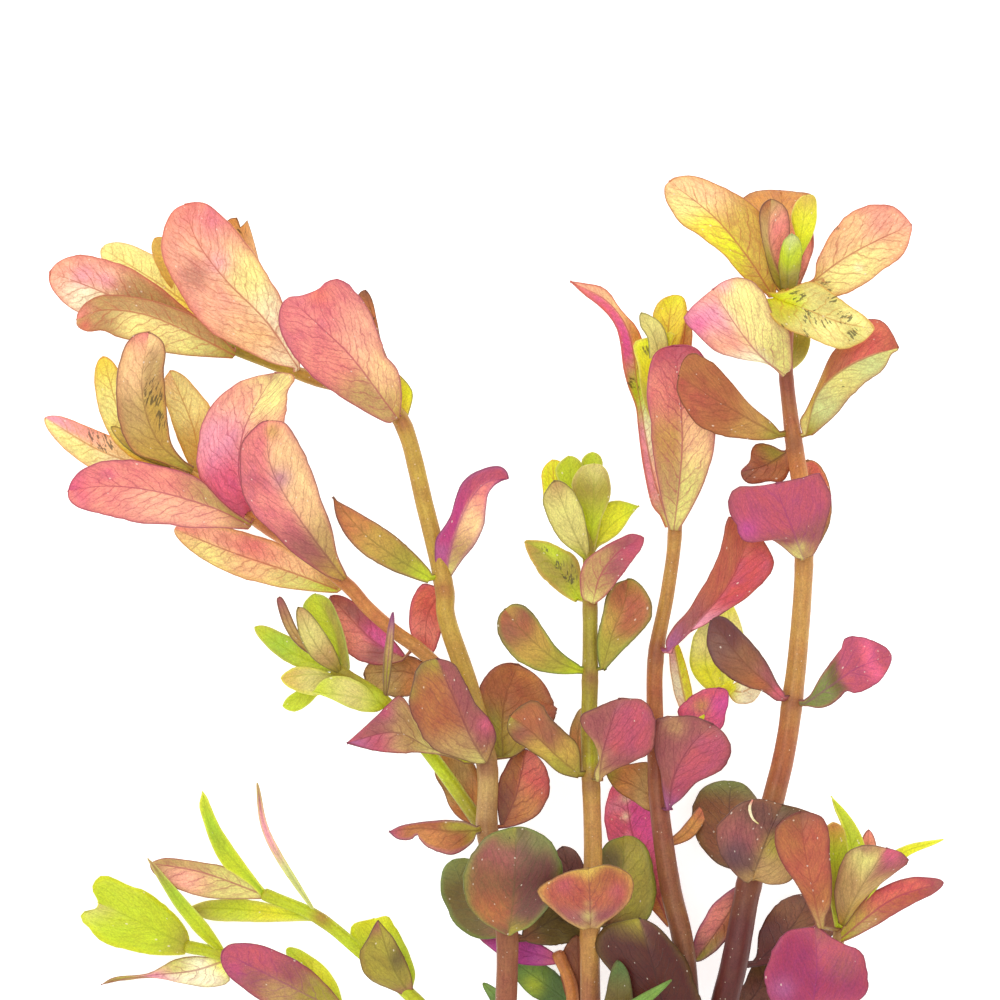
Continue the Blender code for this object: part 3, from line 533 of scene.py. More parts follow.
class Nodes:
    """A node tree under construction, with short calls for the nodes that the skins use."""

    def __init__(self, tree):
        self.tree = tree

    def add(self, kind, inputs=None, **settings):
        """Adds one node, sets its properties, and links or sets its inputs by name or number."""
        node = self.tree.nodes.new("ShaderNode" + kind)
        for key, value in settings.items():
            setattr(node, key, value)
        for key, value in (inputs or {}).items():
            self.feed(node.inputs[key], value)
        return node

    def feed(self, socket, value):
        if isinstance(value, bpy.types.NodeSocket):
            self.tree.links.new(value, socket)
        else:
            socket.default_value = value

    def math(self, operation, *values):
        return self.add("Math", dict(enumerate(values)), operation=operation).outputs[0]

    def between(self, value, low, high, start=0.0, end=1.0):
        """The value mapped smoothly from low..high to start..end."""
        node = self.add("MapRange", {0: value, 1: low, 2: high, 3: start, 4: end},
                        interpolation_type="SMOOTHSTEP")
        return node.outputs[0]

    def mix(self, share, first, second, blend="MIX"):
        """Two colours mixed."""
        node = self.add("Mix", {0: share, 6: first, 7: second}, data_type="RGBA", blend_type=blend)
        return node.outputs[2]

    def noise(self, vector, scale, detail=3.0, rough=0.5):
        node = self.add("TexNoise", {"Vector": vector, "Scale": scale, "Detail": detail, "Roughness": rough})
        return node.outputs["Fac"]

    def cell_edges(self, vector, scale):
        """The distance to the nearest edge between two cells."""
        node = self.add("TexVoronoi", {"Vector": vector, "Scale": scale}, feature="DISTANCE_TO_EDGE")
        return node.outputs["Distance"]

    def split(self, vector):
        node = self.add("SeparateXYZ", {0: vector})
        return node.outputs[0], node.outputs[1], node.outputs[2]

    def join(self, x, y, z=0.0):
        return self.add("CombineXYZ", {0: x, 1: y, 2: z}).outputs[0]

    def attribute(self, name, out="Vector"):
        return self.add("Attribute", attribute_name=name).outputs[out]

    def group(self, made, **inputs):
        """Places a shared group and gives back its outputs by name."""
        node = self.add("Group", node_tree=made)
        for key, value in inputs.items():
            self.feed(node.inputs[key.replace("_", " ")], value)
        return SimpleNamespace(**{out.name.replace(" ", "_"): out for out in node.outputs})


def new_group(name, inputs, outputs):
    """A shader node group with named inputs, each a kind and a default, and named outputs."""
    tree = bpy.data.node_groups.new(name, "ShaderNodeTree")
    for key, (kind, default) in inputs.items():
        socket = tree.interface.new_socket(key, in_out="INPUT", socket_type="NodeSocket" + kind)
        if default is not None:
            socket.default_value = default
    for key, kind in outputs.items():
        tree.interface.new_socket(key, in_out="OUTPUT", socket_type="NodeSocket" + kind)
    nodes = Nodes(tree)
    start = tree.nodes.new("NodeGroupInput")
    end = tree.nodes.new("NodeGroupOutput")
    return nodes, {key: start.outputs[key] for key in inputs}, end


GROUPS = {}


def shared(build):
    """The node group that a function builds, made the first time that it is asked for."""
    if build not in GROUPS:
        GROUPS[build] = build()
    return GROUPS[build]


def vein_climb(nodes, place):
    """The way across from the midrib with and without its sign, the distance to the margin, and how far up
    the midrib the side vein through a place starts."""
    x, y, margin = nodes.split(place)
    out = nodes.math("ABSOLUTE", x)
    rise = nodes.math("MULTIPLY", out, nodes.math("ADD", VEIN_SLANT, nodes.math("MULTIPLY", out, VEIN_BEND)))
    return x, out, margin, nodes.math("SUBTRACT", y, rise)


def vein_group():
    """A midrib, slanting side veins and the fine mesh between them."""
    nodes, given, end = new_group(
        "Leaf veins",
        {"Place": ("Vector", None), "Blade": ("Vector", None),
         "Gap": ("Float", 1.5), "Mesh": ("Float", 0.75)},
        {"Veins": "Float", "Network": "Float"})
    x, out, margin, climb = vein_climb(nodes, given["Place"])
    share = nodes.split(given["Blade"])[1]
    sway = nodes.math("SUBTRACT", nodes.noise(given["Place"], 0.4, 3.0, 0.55), 0.5)
    climb = nodes.math("ADD", climb, nodes.math("MULTIPLY", sway, 2.6))
    turn = nodes.math("ADD", nodes.math("DIVIDE", climb, given["Gap"]),
                      nodes.math("MULTIPLY", nodes.math("GREATER_THAN", x, 0.0), 0.45))

    def lines(turn, thin):
        off = nodes.math("ABSOLUTE", nodes.math("SUBTRACT", nodes.math("FRACT", turn), 0.5))
        return nodes.between(nodes.math("MULTIPLY", off, given["Gap"]), 0.0, thin, 1.0, 0.0)

    side = lines(turn, nodes.between(out, 0.2, 3.5, 0.15, 0.08))
    fork = nodes.math("MULTIPLY", lines(nodes.math("ADD", turn, 0.5), 0.07),
                      nodes.between(out, 0.7, 1.4, 0.0, 0.6))
    side = nodes.math("MULTIPLY", nodes.math("MAXIMUM", side, fork),
                      nodes.between(margin, 0.1, 1.2, 0.2, 0.8))
    rib = nodes.between(out, 0.02, nodes.between(share, 0.0, 0.9, 0.2, 0.1), 1.0, 0.0)
    rib = nodes.math("MULTIPLY", rib, nodes.between(share, 0.8, 1.0, 1.0, 0.3))
    veins = nodes.math("MAXIMUM", side, rib)
    near = nodes.join(x, nodes.math("MULTIPLY", climb, 0.62), 0.0)
    scaled = nodes.add("VectorMath", {0: near, 3: nodes.math("DIVIDE", 1.0, given["Mesh"])},
                       operation="SCALE").outputs[0]
    net = nodes.between(nodes.cell_edges(scaled, 1.0), 0.0, 0.12, 1.0, 0.0)
    net = nodes.math("MULTIPLY", net, nodes.between(margin, 0.0, 0.4, 0.3, 1.0))
    nodes.feed(end.inputs["Veins"], veins)
    nodes.feed(end.inputs["Network"], net)
    return nodes.tree


def mottle_group():
    """Soft patches, strands along the side veins and fine grain that vary a tint."""
    nodes, given, end = new_group(
        "Mottled skin", {"Tint": ("Color", None), "Place": ("Vector", None), "Amount": ("Float", 0.3)},
        {"Colour": "Color"})
    x, _, _, climb = vein_climb(nodes, given["Place"])
    patches = nodes.noise(given["Place"], 0.5, 3.0, 0.6)
    strands = nodes.noise(nodes.join(nodes.math("MULTIPLY", x, 0.25), climb), 2.2, 2.0, 0.6)
    grain = nodes.noise(given["Place"], 5.0, 2.0, 0.8)
    light = nodes.math("ADD", nodes.math("MULTIPLY", patches, 0.4), nodes.math("MULTIPLY", strands, 0.3))
    light = nodes.math("ADD", light, nodes.math("MULTIPLY", grain, 0.9))
    change = nodes.math("MULTIPLY", nodes.math("SUBTRACT", light, 0.8), given["Amount"])
    hue = nodes.math("ADD", 0.5, nodes.math("MULTIPLY", nodes.math("SUBTRACT", patches, 0.5), 0.05))
    value = nodes.math("ADD", 1.0, nodes.math("MULTIPLY", change, 2.0))
    made = nodes.add("HueSaturation", {"Hue": hue, "Value": value, "Color": given["Tint"]})
    nodes.feed(end.inputs["Colour"], made.outputs[0])
    return nodes.tree


def dot_group():
    """Sparse pale dots, and dark specks where a leaf has them."""
    nodes, given, end = new_group(
        "Dots", {"Place": ("Vector", None), "Speck": ("Float", 0.0), "Density": ("Float", 1.2)},
        {"Pale": "Float", "Dark": "Float"})
    cells = nodes.add("TexVoronoi", {"Vector": given["Place"], "Scale": given["Density"]})
    size = nodes.between(nodes.split(cells.outputs["Color"])[0], 0.5, 1.0, 0.0, 0.17)
    pale = nodes.between(nodes.math("SUBTRACT", cells.outputs["Distance"], size), -0.05, 0.0, 1.0, 0.0)
    x, _, _, climb = vein_climb(nodes, given["Place"])
    grain = nodes.noise(nodes.join(nodes.math("MULTIPLY", x, 0.7), climb), 2.6, 2.0, 0.6)
    limit = nodes.between(given["Speck"], 0.05, 0.9, 0.8, 0.5)
    dark = nodes.between(nodes.math("SUBTRACT", grain, limit), 0.0, 0.05)
    nodes.feed(end.inputs["Pale"], pale)
    nodes.feed(end.inputs["Dark"], dark)
    return nodes.tree


def streak_group():
    """Fine strands along a stem and darker leaf joints."""
    nodes, given, end = new_group(
        "Stem streaks", {"Place": ("Vector", None), "Blade": ("Vector", None)},
        {"Strands": "Float", "Joint": "Float", "Relief": "Float"})
    x, y, along = nodes.split(given["Place"])
    stretched = nodes.join(x, y, nodes.math("MULTIPLY", along, 0.12))
    strands = nodes.noise(stretched, 4.0, 3.0, 0.6)
    near, _, ring = nodes.split(given["Blade"])
    joint = nodes.math("MAXIMUM", nodes.math("MULTIPLY", near, 0.6), ring)
    nodes.feed(end.inputs["Strands"], strands)
    nodes.feed(end.inputs["Joint"], joint)
    nodes.feed(end.inputs["Relief"], nodes.math("SUBTRACT", strands, nodes.math("MULTIPLY", ring, 0.4)))
    return nodes.tree


def rgba(code):
    return (*linear(code), 1.0)


def new_skin(name):
    """A material whose Principled shader has the soft gloss of plant skin."""
    skin = bpy.data.materials.new(name)
    skin.use_nodes = True
    surface = skin.node_tree.nodes["Principled BSDF"]
    surface.inputs["Specular IOR Level"].default_value = SKIN_GLOSS
    return skin, Nodes(skin.node_tree), surface


def leaf_skin(finish):
    """The skin of a leaf in one finish: its own tints under veins, margin, dots and specks."""
    name = "leaf_" + finish
    if name in bpy.data.materials:
        return bpy.data.materials[name]
    vein_colour, vein_share, mesh_share, edge_colour, edge_share, rough = FINISHES[finish]
    cut = sizes()
    skin, nodes, surface = new_skin(name)
    place = nodes.attribute("place")
    blade = nodes.attribute("blade")
    tint = nodes.attribute("tint", "Color")
    veins = nodes.group(shared(vein_group), Place=place, Blade=blade,
                        Gap=cut.vein_gap / MM, Mesh=cut.mesh_gap / MM)
    ground = nodes.group(shared(mottle_group), Tint=tint, Place=place, Amount=MOTTLING).Colour
    dots = nodes.group(shared(dot_group), Place=place, Speck=nodes.split(blade)[2])
    margin = nodes.split(place)[2]
    line = nodes.between(margin, 0.02, 0.16, edge_share, 0.0)
    stained = nodes.mix(nodes.math("MULTIPLY", veins.Network, mesh_share), ground, rgba(vein_colour))
    stained = nodes.mix(nodes.math("MULTIPLY", veins.Veins, vein_share), stained, rgba(vein_colour))
    stained = nodes.mix(line, stained, rgba(edge_colour))
    stained = nodes.mix(nodes.math("MULTIPLY", dots.Dark, 0.75), stained, rgba(SPECK_COLOUR))
    stained = nodes.mix(nodes.math("MULTIPLY", dots.Pale, 0.5), stained, rgba(LEAF_DOT_COLOUR))
    nodes.feed(surface.inputs["Base Color"], stained)
    nodes.feed(surface.inputs["Roughness"],
               nodes.math("ADD", rough, nodes.math("MULTIPLY", veins.Veins, 0.15)))
    bump = nodes.add("Bump", {"Strength": 0.35, "Distance": 0.12 * MM, "Height": veins.Veins})
    nodes.feed(surface.inputs["Normal"], bump.outputs[0])
    return skin


def stem_skin(finish):
    """The skin of a stem in one finish: its own tints under strands, joints and dots."""
    name = "stem_" + finish
    if name in bpy.data.materials:
        return bpy.data.materials[name]
    skin, nodes, surface = new_skin(name)
    place = nodes.attribute("place")
    tint = nodes.attribute("tint", "Color")
    streaks = nodes.group(shared(streak_group), Place=place, Blade=nodes.attribute("blade"))
    ground = nodes.group(shared(mottle_group), Tint=tint, Place=place, Amount=MOTTLING).Colour
    dots = nodes.group(shared(dot_group), Place=place, Density=2.2)
    shade = nodes.between(streaks.Strands, 0.35, 0.7, 0.0, 0.2)
    stained = nodes.mix(shade, ground, nodes.mix(1.0, ground, rgba(FINISHES[finish][0]), "MULTIPLY"))
    stained = nodes.mix(nodes.math("MULTIPLY", streaks.Joint, 0.3), stained, rgba(JOINT_COLOUR))
    stained = nodes.mix(nodes.math("MULTIPLY", dots.Pale, 0.55), stained, rgba(STEM_DOT_COLOUR))
    nodes.feed(surface.inputs["Base Color"], stained)
    nodes.feed(surface.inputs["Roughness"], nodes.between(streaks.Strands, 0.2, 0.8, 0.34, 0.5))
    bump = nodes.add("Bump", {"Strength": 0.3, "Distance": 0.1 * MM, "Height": streaks.Relief})
    nodes.feed(surface.inputs["Normal"], bump.outputs[0])
    return skin


class ROTALA_OT_creeping_stem(Operator):
    """The short creeping stem that all the others rise from"""
    bl_idname = "rotala.creeping_stem"
    bl_label = "Creeping stem"

    def execute(self, context):
        stem("lying_stem", "creeping_stem", "rust",
             "425,-98,15 480,-99,15 535,-96,15 590,-99,15 650,-104,15 710,-108,15 760,-106,15",
             CREEPING_RADII, "rust russet rust russet", (1, 3, 5))
        return {"FINISHED"}


LEFT_SMALL_LEAVES = (
    ("green", "506,68,94 476,86,54 452,138,1", (2.4, 3.0, ROUND), "brown dark_olive dark_olive sage",
     dict(edge="moss")),
    ("rust", "486,174,96 472,184,72 456,202,62 437,241,54",
     "462,180 450,192 443,210 435,224 / 484,188 482,215 472,238 452,250", "rust amber tan amber",
     dict(edge="rust")),
    ("red", "444,412,108 428,386,84 425,345,74",
     "446,390 441,368 434,348 / 434,414 422,416 413,403 409,385 411,365", "coral coral salmon coral",
     dict(edge="pink")),
    ("rust", "404,582,112 386,640,94 365,710,88",
     "385,600 372,655 362,685 358,704 / 413,604 408,616 392,634 382,655 377,680 372,701",
     "yellow lemon tan rust amber brown", dict(specks="368,685,12")),
    ("rust", "290,630,100 266,700,88 236,782,88",
     "262,670 243,730 232,760 226,778 / 272,670 262,725 254,758 247,780 241,772",
     "tan orange apricot orange", dict(specks="240,765,10")),
    ("yellow", "244,648,104 174,706,60 100,753,1", (2.0, 2.2, SPOON), "gold yellow pale_yellow pale_yellow",
     dict(edge="apricot")),
    ("yellow", "242,650,92 200,704,60 154,762,54", (1.8, 1.8, SPOON), "gold yellow gold gold"),
)


class ROTALA_OT_left_stem(Operator):
    """The stem on the left, which bends over at its tip, with its small leaves"""
    bl_idname = "rotala.left_stem"
    bl_label = "Left stem"

    def execute(self, context):
        stem("left_stem", "stem_left", "stem",
             "509,-97,16 506,-20,80 507,67,102 496,125,104 487,173,104 487,235,106 470,310,110 447,380,114 "
             "444,414,114 426,490,116 402,578,114 366,606,104 312,622,100 252,644,104 226,654,108",
             (1.1, 1.05, 1.05, 1.0, 0.93, 0.88, 0.85, 0.66, 0.55),
             "russet russet brown tan ochre ochre ochre ochre olive", (2, 4, 5, 8, 10, 12),
             "484,234,11,brown 443,410,8,rust 404,576,8,rust 330,616,10,russet")
        leaves("small_left", "stem_left", LEFT_SMALL_LEAVES)
        return {"FINISHED"}


LEFT_LEAVES = (
    ("green", "508,66,119 513,100,140 515,136,152 516,174,150",
     "497,70 481,80 468,96 463,115 466,135 475,151 489,166 / 517,69 530,74 547,92 558,108 562,128 558,146 "
     "548,162 533,171", "brown rust brown rosewood olive",
     dict(right="olive cocoa maroon cocoa dark_olive", edge="moss", rise=(0.9, 0.9),
          spots="506,166,13,sage 540,160,13,sage", specks="508,162,3.5 475,106,4")),
    ("maroon", "524,62,84 550,78,72 588,94,62", (2.2, 2.7, ROUND), "brown dark_olive dark_olive olive",
     dict(edge="dark_olive")),
    ("rust", "476,170,118 452,169,126 422,172,126 389,169,120",
     "472,157 456,146 443,147 430,152 420,161 417,166 412,161 404,160 396,162 / 476,174 462,179 445,180 "
     "422,178 403,175", "olive rust amber rust rose",
     dict(right="olive olive rust rust rose", edge="mauve", rise=(0.2, -0.6))),
    ("rose", "503,174,90 516,205,82 526,250,76", (2.0, 3.2, OVAL), "brown russet rust rust",
     dict(right="rust amber coral salmon", edge="rosewood", rise=(0.2, 0.4))),
    ("rose", "485,239,124 470,265,148 455,300,164 437,342,168",
     "475,237 456,243 437,249 426,260 416,278 410,297 410,312 414,325 422,337 / 492,250 496,262 494,273 "
     "490,280 478,293 470,308 462,324 453,337", "straw tan rust rust olive",
     dict(right="tan rosewood rosewood rosewood rosewood", edge="cocoa", rise=(0.6, -0.8),
          spots="486,276,9,pink 410,334,12,sage 410,310,10,olive")),
    ("rust", "503,242,92 502,275,86 506,305,80 518,335,72", (2.8, 5.3, ROUND), "olive olive rust rust",
     dict(right="olive ochre rust rust amber", edge="rosewood", rise=(0.3, 0.5))),
    ("rose", "466,240,110 430,252,118 394,268,122 347,257,112",
     "450,243 425,247 398,247 377,249 360,253 / 455,257 430,267 418,278 410,293 401,305 391,299 377,285 "
     "361,270", "lime straw tan rose mauve",
     dict(right="lime straw tan rosewood rose", edge="rose", rise=(0.1, 0.3), blend=0.1,
          spots="386,288,8,cerise")),
    ("olive", "430,422,124 400,440,132 365,466,134 333,503,128",
     "428,417 412,422 387,432 365,445 347,463 337,482 / 428,432 412,449 391,467 361,486 341,497",
     "lime olive ochre amber rust",
     dict(right="lime olive ochre amber rust", edge="rosewood", rise=(0.3, -0.5))),
    ("magenta", "446,422,114 452,455,126 466,492,136 484,516,140 508,522,134",
     "436,435 435,450 437,462 444,473 451,485 455,500 460,514 468,523 478,529 490,533 500,533 506,529 / "
     "461,438 470,449 478,460 484,475 486,490 488,504 493,513 501,519", "mauve cerise cerise rose rose",
     dict(right="straw tan apricot salmon cerise", edge="mauve", rise=(0.6, 0.2), spots="442,450,8,mauve")),
    ("pink", "397,582,129 354,640,150 324,670,162 289,702,158",
     "387,577 360,591 327,612 306,630 288,653 280,674 281,692 / 402,605 398,629 385,645 383,654 377,672 "
     "371,685 365,695 354,710 346,717 335,720 326,717 318,710 302,704", "tan tan salmon blush blush",
     dict(right="ochre apricot peach blush blush", edge="rose", rise=(0.6, 0.8),
          spots="388,598,14,tan 320,704,12,coral")),
    ("peach", "297,634,116 266,679,134 226,720,150 198,758,156 185,795,148",
     "271,637 242,651 217,664 196,684 178,710 167,736 163,757 165,773 173,788 / 292,660 287,685 279,707 "
     "265,730 254,747 242,762 221,785 209,794 198,797", "cream apricot peach peach salmon",
     dict(right="cream cream butter peach salmon", edge="coral", rise=(0.6, 0.8),
          spots="212,780,14,pink 220,736,12,light_pink 196,724,15,rosewood")),
    ("peach", "218,659,104 160,682,106 100,709,100 50,728,86", (3.0, 3.3, SPOON),
     "tan straw butter cream peach",
     dict(right="olive tan tan peach peach", edge="coral", rise=(0.2, 0.4),
          spots="84,724,12,light_pink 106,720,10,light_pink")),
    ("peach", "234,645,122 200,662,130 150,684,132 105,690,124 77,680,110",
     "205,643 183,645 164,648 137,659 118,662 103,669 88,668 78,673 / 205,678 170,694 140,702 116,705 "
     "100,704 86,697 78,687", "olive straw butter butter tan tan",
     dict(right="olive tan tan tan tan salmon", edge="rust", rise=(-0.4, 0.3), spots="86,674,7,coral")),
)


class ROTALA_OT_left_leaves(Operator):
    """The broad leaves of the left stem, from its foot to its tip"""
    bl_idname = "rotala.left_leaves"
    bl_label = "Left leaves"

    def execute(self, context):
        leaves("leaf_left", "stem_left", LEFT_LEAVES)
        return {"FINISHED"}


BRANCH_SMALL_LEAVES = (
    ("yellow", "184,528,128 130,564,120 103,643,114", (1.8, 1.5, SPOON), "gold yellow pale_yellow yellow",
     dict(edge="orange")),
    ("yellow", "186,526,128 108,546,114 45,582,98", (2.0, 1.8, OVAL), "straw cream pale_yellow butter",
     dict(right="straw butter peach light_pink", edge="salmon", specks="96,564,15 106,556,13")),
    ("yellow", "204,516,126 194,570,106 170,629,100",
     "190,534 178,560 168,590 163,615 / 200,534 200,550 204,567 212,589 204,602 192,617 180,627",
     "olive gold butter apricot", dict(right="olive gold butter butter", edge="orange")),
    ("olive", "178,532,130 140,552,136 112,573,132", (0.8, 0.8, OVAL), "olive olive gold"),
)
BRANCH_LEAVES = (
    ("red", "404,342,94 372,360,86 330,403,80", (2.6, 1.8, OVAL), "tan rosewood salmon salmon rosewood",
     dict(right="rose hot_pink rose rosewood brick", edge="rose", spots="374,368,9,hot_pink")),
    ("rust", "440,314,84 405,328,74 364,326,66", (2.6, 1.7, ROUND), "tan amber tan tan",
     dict(edge="cocoa", rise=(0.1, 0.1))),
    ("rose", "344,422,128 318,456,152 292,494,172 271,536,182 268,579,176",
     "325,425 295,446 272,469 256,484 247,500 241,520 240,542 243,557 251,568 261,577 / 338,445 333,469 "
     "327,488 320,507 312,530 304,549 293,568 284,578", "ochre rosewood blush blush blush",
     dict(right="ochre tan apricot apricot salmon", edge="rose", rise=(0.5, 0.6),
          spots="282,522,11,mauve 274,568,8,gold 256,520,10,rose")),
    ("pink", "252,492,135 239,526,140 246,574,142 276,627,132",
     "240,480 218,496 206,511 199,526 198,549 201,568 207,584 218,603 234,615 252,622 / 262,500 275,530 "
     "284,570 286,585 288,598 289,610 295,620 292,626", "rose pink light_pink peach butter",
     dict(right="pink light_pink peach butter pale_yellow", edge="salmon", rise=(0.4, 0.4),
          spots="226,520,10,pink 272,626,8,rosewood")),
    ("pink", "250,474,136 214,492,150 160,508,156 110,514,150 69,509,134",
     "221,472 183,473 145,477 106,485 80,492 70,500 / 235,488 221,500 203,519 183,528 156,535 130,540 "
     "106,539 84,531 73,520", "tan peach peach salmon salmon",
     dict(right="olive tan salmon salmon pink", edge="rose", rise=(0.4, 0.6),
          spots="84,504,10,pink 110,528,8,pink")),
    ("peach", "338,410,100 290,428,78 230,448,42 173,471,1", (2.1, 2.4, OVAL),
     "lime straw apricot butter apricot",
     dict(right="ochre apricot salmon peach salmon", edge="gold", rise=(0.2, 0.4))),
    ("rust", "192,530,144 158,560,160 143,610,174 150,667,170",
     "160,538 135,548 122,570 118,595 118,625 123,646 130,659 139,666 / 184,540 173,555 169,575 167,600 "
     "165,628 167,644 165,656 159,663", "olive ochre tan apricot salmon",
     dict(right="olive ochre ochre tan apricot", edge="brick", rise=(0.5, 0.5),
          specks="156,604,16 162,582,13 152,616,10")),
)


class ROTALA_OT_left_branch(Operator):
    """The second stem on the left, a branch of the first, with its leaves"""
    bl_idname = "rotala.left_branch"
    bl_label = "Left branch"

    def execute(self, context):
        stem("left_branch", "branch_left", "stem",
             "454,318,100 420,350,106 394,369,110 368,392,112 346,416,114 306,446,118 265,474,122 "
             "220,506,126 174,534,130", SHOOT_RADII, "honey amber amber gold", (4, 6))
        leaves("small_branch", "branch_left", BRANCH_SMALL_LEAVES)
        leaves("leaf_branch", "branch_left", BRANCH_LEAVES)
        return {"FINISHED"}


GREEN_SMALL_LEAVES = (
    ("lime", "338,330,114 295,346,106 255,373,98", (1.1, 1.3, OVAL), "lime lime fresh lime",
     dict(edge="olive")),
    ("rust", "336,332,116 297,363,134 279,403,134", (0.5, 0.5, BLUNT), "tan tan tan rosewood"),
    ("lime", "342,328,114 334,368,112 315,406,108",
     "340,340 322,360 306,378 303,394 309,403 / 350,332 347,354 340,379 329,401", "lime lime lime lime",
     dict(right="olive olive olive lime", edge="moss")),
    ("olive", "340,328,118 316,356,148 299,393,148", (1.1, 1.4, OVAL), "olive tan straw tan",
     dict(edge="olive")),
    ("lime", "346,324,112 312,326,119 281,322,118", "335,310 312,305 292,311 / 335,326 310,333 293,332",
     "olive straw gold", dict(edge="lemon")),
    ("lime", "352,320,112 312,310,98 283,294,92",
     "330,312 318,305 309,296 298,289 289,289 / 330,323 318,321 301,312 288,303", "lime lime lime"),
    ("lime", "386,296,110 350,304,126 313,308,128",
     "375,288 356,290 336,299 320,306 / 376,303 363,316 343,324 324,321", "lime straw lime",
     dict(edge="lime")),
    ("magenta", "385,298,109 388,340,128 393,388,132", (0.42, 0.42, OVAL), "olive olive tan mauve"),
)


class ROTALA_OT_green_shoot(Operator):
    """The fresh side shoot behind the left stem's leaves"""
    bl_idname = "rotala.green_shoot"
    bl_label = "Green shoot"

    def execute(self, context):
        stem("green_shoot", "shoot_green", "lime",
             "480,176,88 432,243,88 385,298,108 350,322,112 334,332,114", SHOOT_RADII,
             "olive lime lime olive", (2, 3))
        leaves("small_green", "shoot_green", GREEN_SMALL_LEAVES)
        return {"FINISHED"}


MIDDLE_SMALL_LEAVES = (
    ("maroon", "590,70,104 574,110,80 563,153,76", (1.8, 1.8, ROUND), "brown maroon cocoa"),
    ("olive", "590,218,106 578,256,90 582,292,86", (0.9, 0.8, OVAL), "olive amber tan"),
    ("olive", "589,438,116 572,472,142 554,519,152",
     "584,440 575,448 561,459 550,476 544,493 544,506 / 590,444 589,455 587,470 583,489 575,506 566,516",
     "lime straw straw tan", dict(right="straw straw straw tan", edge="olive")),
    ("lime", "589,445,116 593,490,128 594,536,128",
     "586,460 580,490 572,510 574,523 581,533 / 597,460 601,479 608,497 611,514 608,527 601,535",
     "olive lime olive straw", dict(edge="tan")),
    ("lime", "589,444,116 610,474,110 639,494,104",
     "590,465 598,488 606,497 621,499 / 598,453 610,460 621,469 630,483", "olive lemon lemon lime",
     dict(edge="olive")),
    ("yellow", "582,466,118 558,502,96 552,540,92", "548,490 543,510 542,529 / 566,500 564,520 563,536",
     "lime lemon lemon"),
    ("lime", "583,480,120 572,514,109 569,544,108", "570,500 558,520 557,534 / 583,500 585,525 580,539",
     "lime lime lime", dict(edge="olive")),
    ("lime", "583,480,120 591,520,102 592,548,98", "583,510 581,530 583,542 / 597,510 602,530 601,543",
     "lime lime lime", dict(edge="olive")),
    ("green", "592,-34,74 620,-16,136 671,21,144", (1.0, 1.0, POINTED), "brown dark_green moss moss"),
    ("olive", "592,-40,66 614,-8,118 618,40,128", (1.2, 1.8, OVAL), "brown olive dark_olive dark_green",
     dict(spots="606,38,6,orange")),
)
MIDDLE_LEAVES = (
    ("rose", "590,74,126 590,92,152 589,115,168 588,133,170",
     "582,71 563,82 551,93 541,102 538,109 545,117 556,125 573,131 / 598,72 606,79 620,89 630,103 633,117 "
     "626,130 614,136 601,136", "tan rosewood brick brick gold",
     dict(right="tan rosewood brick rust gold", edge="gold", rise=(0.5, 0.5),
          spots="588,86,6,straw 588,98,3.5,tan 564,116,9,rose 616,110,8,rose", specks="579,105,3")),
    ("green", "606,74,92 616,105,84 623,135,78 624,163,70",
     "600,86 592,106 594,134 606,156 / 624,66 644,76 656,98 654,128 648,150 636,162",
     "brown olive dark_olive olive", dict(right="brown olive olive olive", edge="sage")),
    ("rose", "599,220,128 603,250,142 612,280,152 619,302,152",
     "594,228 599,243 593,259 583,272 581,284 590,291 603,296 / 604,224 617,232 632,238 647,247 655,262 "
     "655,280 651,293 641,301 631,302", "straw tan rosewood rosewood rosewood",
     dict(right="tan rosewood rose rose rosewood", edge="brown", rise=(0.5, 0.3), spots="598,236,8,tan")),
    ("rust", "578,226,122 555,246,132 530,270,134 510,284,128",
     "577,222 560,227 545,239 527,252 514,260 507,272 / 578,255 563,270 549,284 541,297 533,300 521,295",
     "olive olive ochre russet olive",
     dict(right="olive ochre russet rust rust", edge="dark_olive", rise=(-0.3, 0.3),
          spots="516,296,7,dark_olive")),
    ("olive", "579,330,116 556,340,126 526,366,134 505,391,130",
     "575,326 560,326 545,328 530,332 517,340 506,352 499,364 497,375 499,385 / 578,336 565,345 552,358 "
     "543,372 536,383 528,392 520,396 512,396", "lime olive ochre russet rust",
     dict(right="lime olive ochre russet ochre", edge="moss", rise=(0.1, 0.5), spots="524,374,9,rust")),
    ("olive", "603,332,116 612,366,118 624,396,116 628,421,110",
     "597,350 598,368 603,388 606,404 613,415 / 604,329 612,338 623,350 637,364 649,378 652,389 651,400 "
     "643,413 635,420", "olive olive ochre rust rust",
     dict(right="olive olive rust rust ochre", edge="moss", rise=(0.4, 0.4), spots="634,392,13,brick")),
    ("pink", "593,398,128 600,424,140 617,447,144 643,462,136",
     "582,402 580,417 582,434 589,443 601,452 618,461 631,466 / 596,397 605,404 618,420 629,435 640,450",
     "straw tan tan rosewood rose", dict(right="straw tan rosewood rose rose", edge="rose", rise=(0.4, 0.3))),
    ("lime", "579,402,110 564,425,108 545,447,104 525,458,96",
     "575,398 563,405 545,420 531,440 / 578,440 563,451 548,458 534,460", "lime olive olive ochre",
     dict(right="lime olive lime olive", edge="amber", specks="570,424,12 546,450,6 558,434,8")),
)


